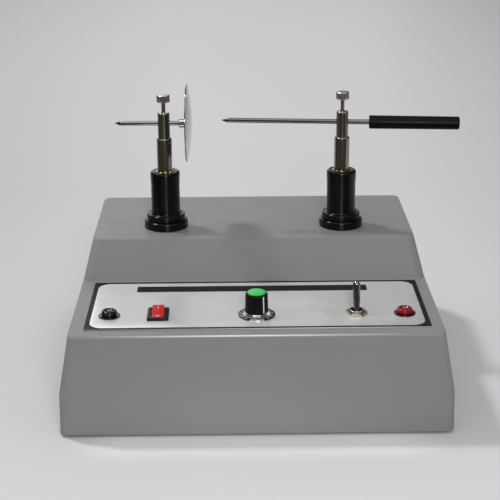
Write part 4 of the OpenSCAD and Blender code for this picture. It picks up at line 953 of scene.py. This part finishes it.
def lamp(name, place_m, aim_m, size_m, watts):
    data = bpy.data.lights.new(name, "AREA")
    data.shape, data.size, data.energy = "DISK", size_m, watts
    lamp_object = bpy.data.objects.new(name, data)
    lamp_object.location = place_m
    lamp_object.rotation_mode = "QUATERNION"
    lamp_object.rotation_quaternion = (Vector(aim_m) - Vector(place_m)).to_track_quat("-Z", "Y")
    bpy.context.scene.collection.objects.link(lamp_object)


def surroundings():
    """A plain studio, with its own set of brightnesses for matt surfaces, for gloss and for the camera."""
    world = bpy.data.worlds.new("studio")
    world.use_nodes = True
    bpy.context.scene.world = world
    tree = world.node_tree
    background = tree.nodes["Background"]
    direction = tree.nodes.new("ShaderNodeTexCoord").outputs["Generated"]
    parts = tree.nodes.new("ShaderNodeSeparateXYZ")
    tree.links.new(direction, parts.inputs[0])

    def ramp(socket, low, high):
        n = tree.nodes.new("ShaderNodeMapRange")
        n.interpolation_type = "SMOOTHSTEP"
        n.inputs["From Min"].default_value = low
        n.inputs["From Max"].default_value = high
        tree.links.new(socket, n.inputs["Value"])
        return n.outputs[0]

    def mix(fac, a, b):
        n = tree.nodes.new("ShaderNodeMix")
        n.data_type = "RGBA"
        tree.links.new(fac, n.inputs[0])
        for i, v in ((6, a), (7, b)):
            if isinstance(v, tuple):
                n.inputs[i].default_value = v
            else:
                tree.links.new(v, n.inputs[i])
        return n.outputs[2]

    # matt surfaces: pale behind and above, dim on the camera's side
    sides = mix(ramp(parts.outputs[1], -0.75, 0.35), (0.14, 0.135, 0.13, 1), (0.50, 0.50, 0.50, 1))
    dome = mix(ramp(parts.outputs[2], 0.25, 0.8), sides, (0.62, 0.62, 0.63, 1))
    # gloss: the paper behind, brightest left of the middle, a dim room, a pale ceiling
    centre = mix(ramp(parts.outputs[0], -0.125, 0.155), (1.26, 1.27, 1.25, 1), (0.115, 0.115, 0.112, 1))
    paper = mix(ramp(parts.outputs[0], -0.55, -0.22), (0.2, 0.2, 0.2, 1), centre)
    room = mix(ramp(parts.outputs[2], 0.5, 0.64), paper, (0.16, 0.16, 0.17, 1))
    walls = mix(ramp(parts.outputs[1], -0.1, 0.3), (0.085, 0.08, 0.075, 1), room)
    ahead = mix(ramp(parts.outputs[1], 0.05, 0.25), (0.9, 0.9, 0.92, 1), walls)
    mirrored = mix(ramp(parts.outputs[2], 0.64, 0.72), walls, ahead)
    rays = tree.nodes.new("ShaderNodeLightPath")
    lit = mix(rays.outputs["Is Glossy Ray"], dome, mirrored)
    seen = mix(rays.outputs["Is Camera Ray"], lit, (0.58, 0.575, 0.575, 1))
    tree.links.new(seen, background.inputs["Color"])
    background.inputs["Strength"].default_value = 1.0


def camera():
    data = bpy.data.cameras.new("view")
    data.lens, data.sensor_width = 97.2, 36.0
    data.clip_start, data.clip_end = 0.05, 100.0
    eye = bpy.data.objects.new("view", data)
    yaw, pitch, roll = -0.0126, 0.3317, -0.0054
    forward = Vector((-math.sin(yaw) * math.cos(pitch), math.cos(yaw) * math.cos(pitch),
                      -math.sin(pitch)))
    level = Vector((math.cos(yaw), math.sin(yaw), 0))
    above = level.cross(forward)
    right = level * math.cos(roll) + above * math.sin(roll)
    up = above * math.cos(roll) - level * math.sin(roll)
    turn = Matrix((right, up, -forward)).transposed()
    eye.matrix_world = Matrix.Translation((-0.026783, -1.02731, 0.45177)) @ turn.to_4x4()
    bpy.context.scene.collection.objects.link(eye)
    bpy.context.scene.camera = eye


floor()
lamp("key", (-1.35, 0.75, 2.55), (0.0, 0.02, 0.1), 0.34, 30.0)
lamp("front", (0.10, -1.2, 0.62), (0.0, 0.0, 0.08), 0.26, 5.2)
surroundings()
camera()
bpy.context.scene.view_settings.view_transform = "Standard"
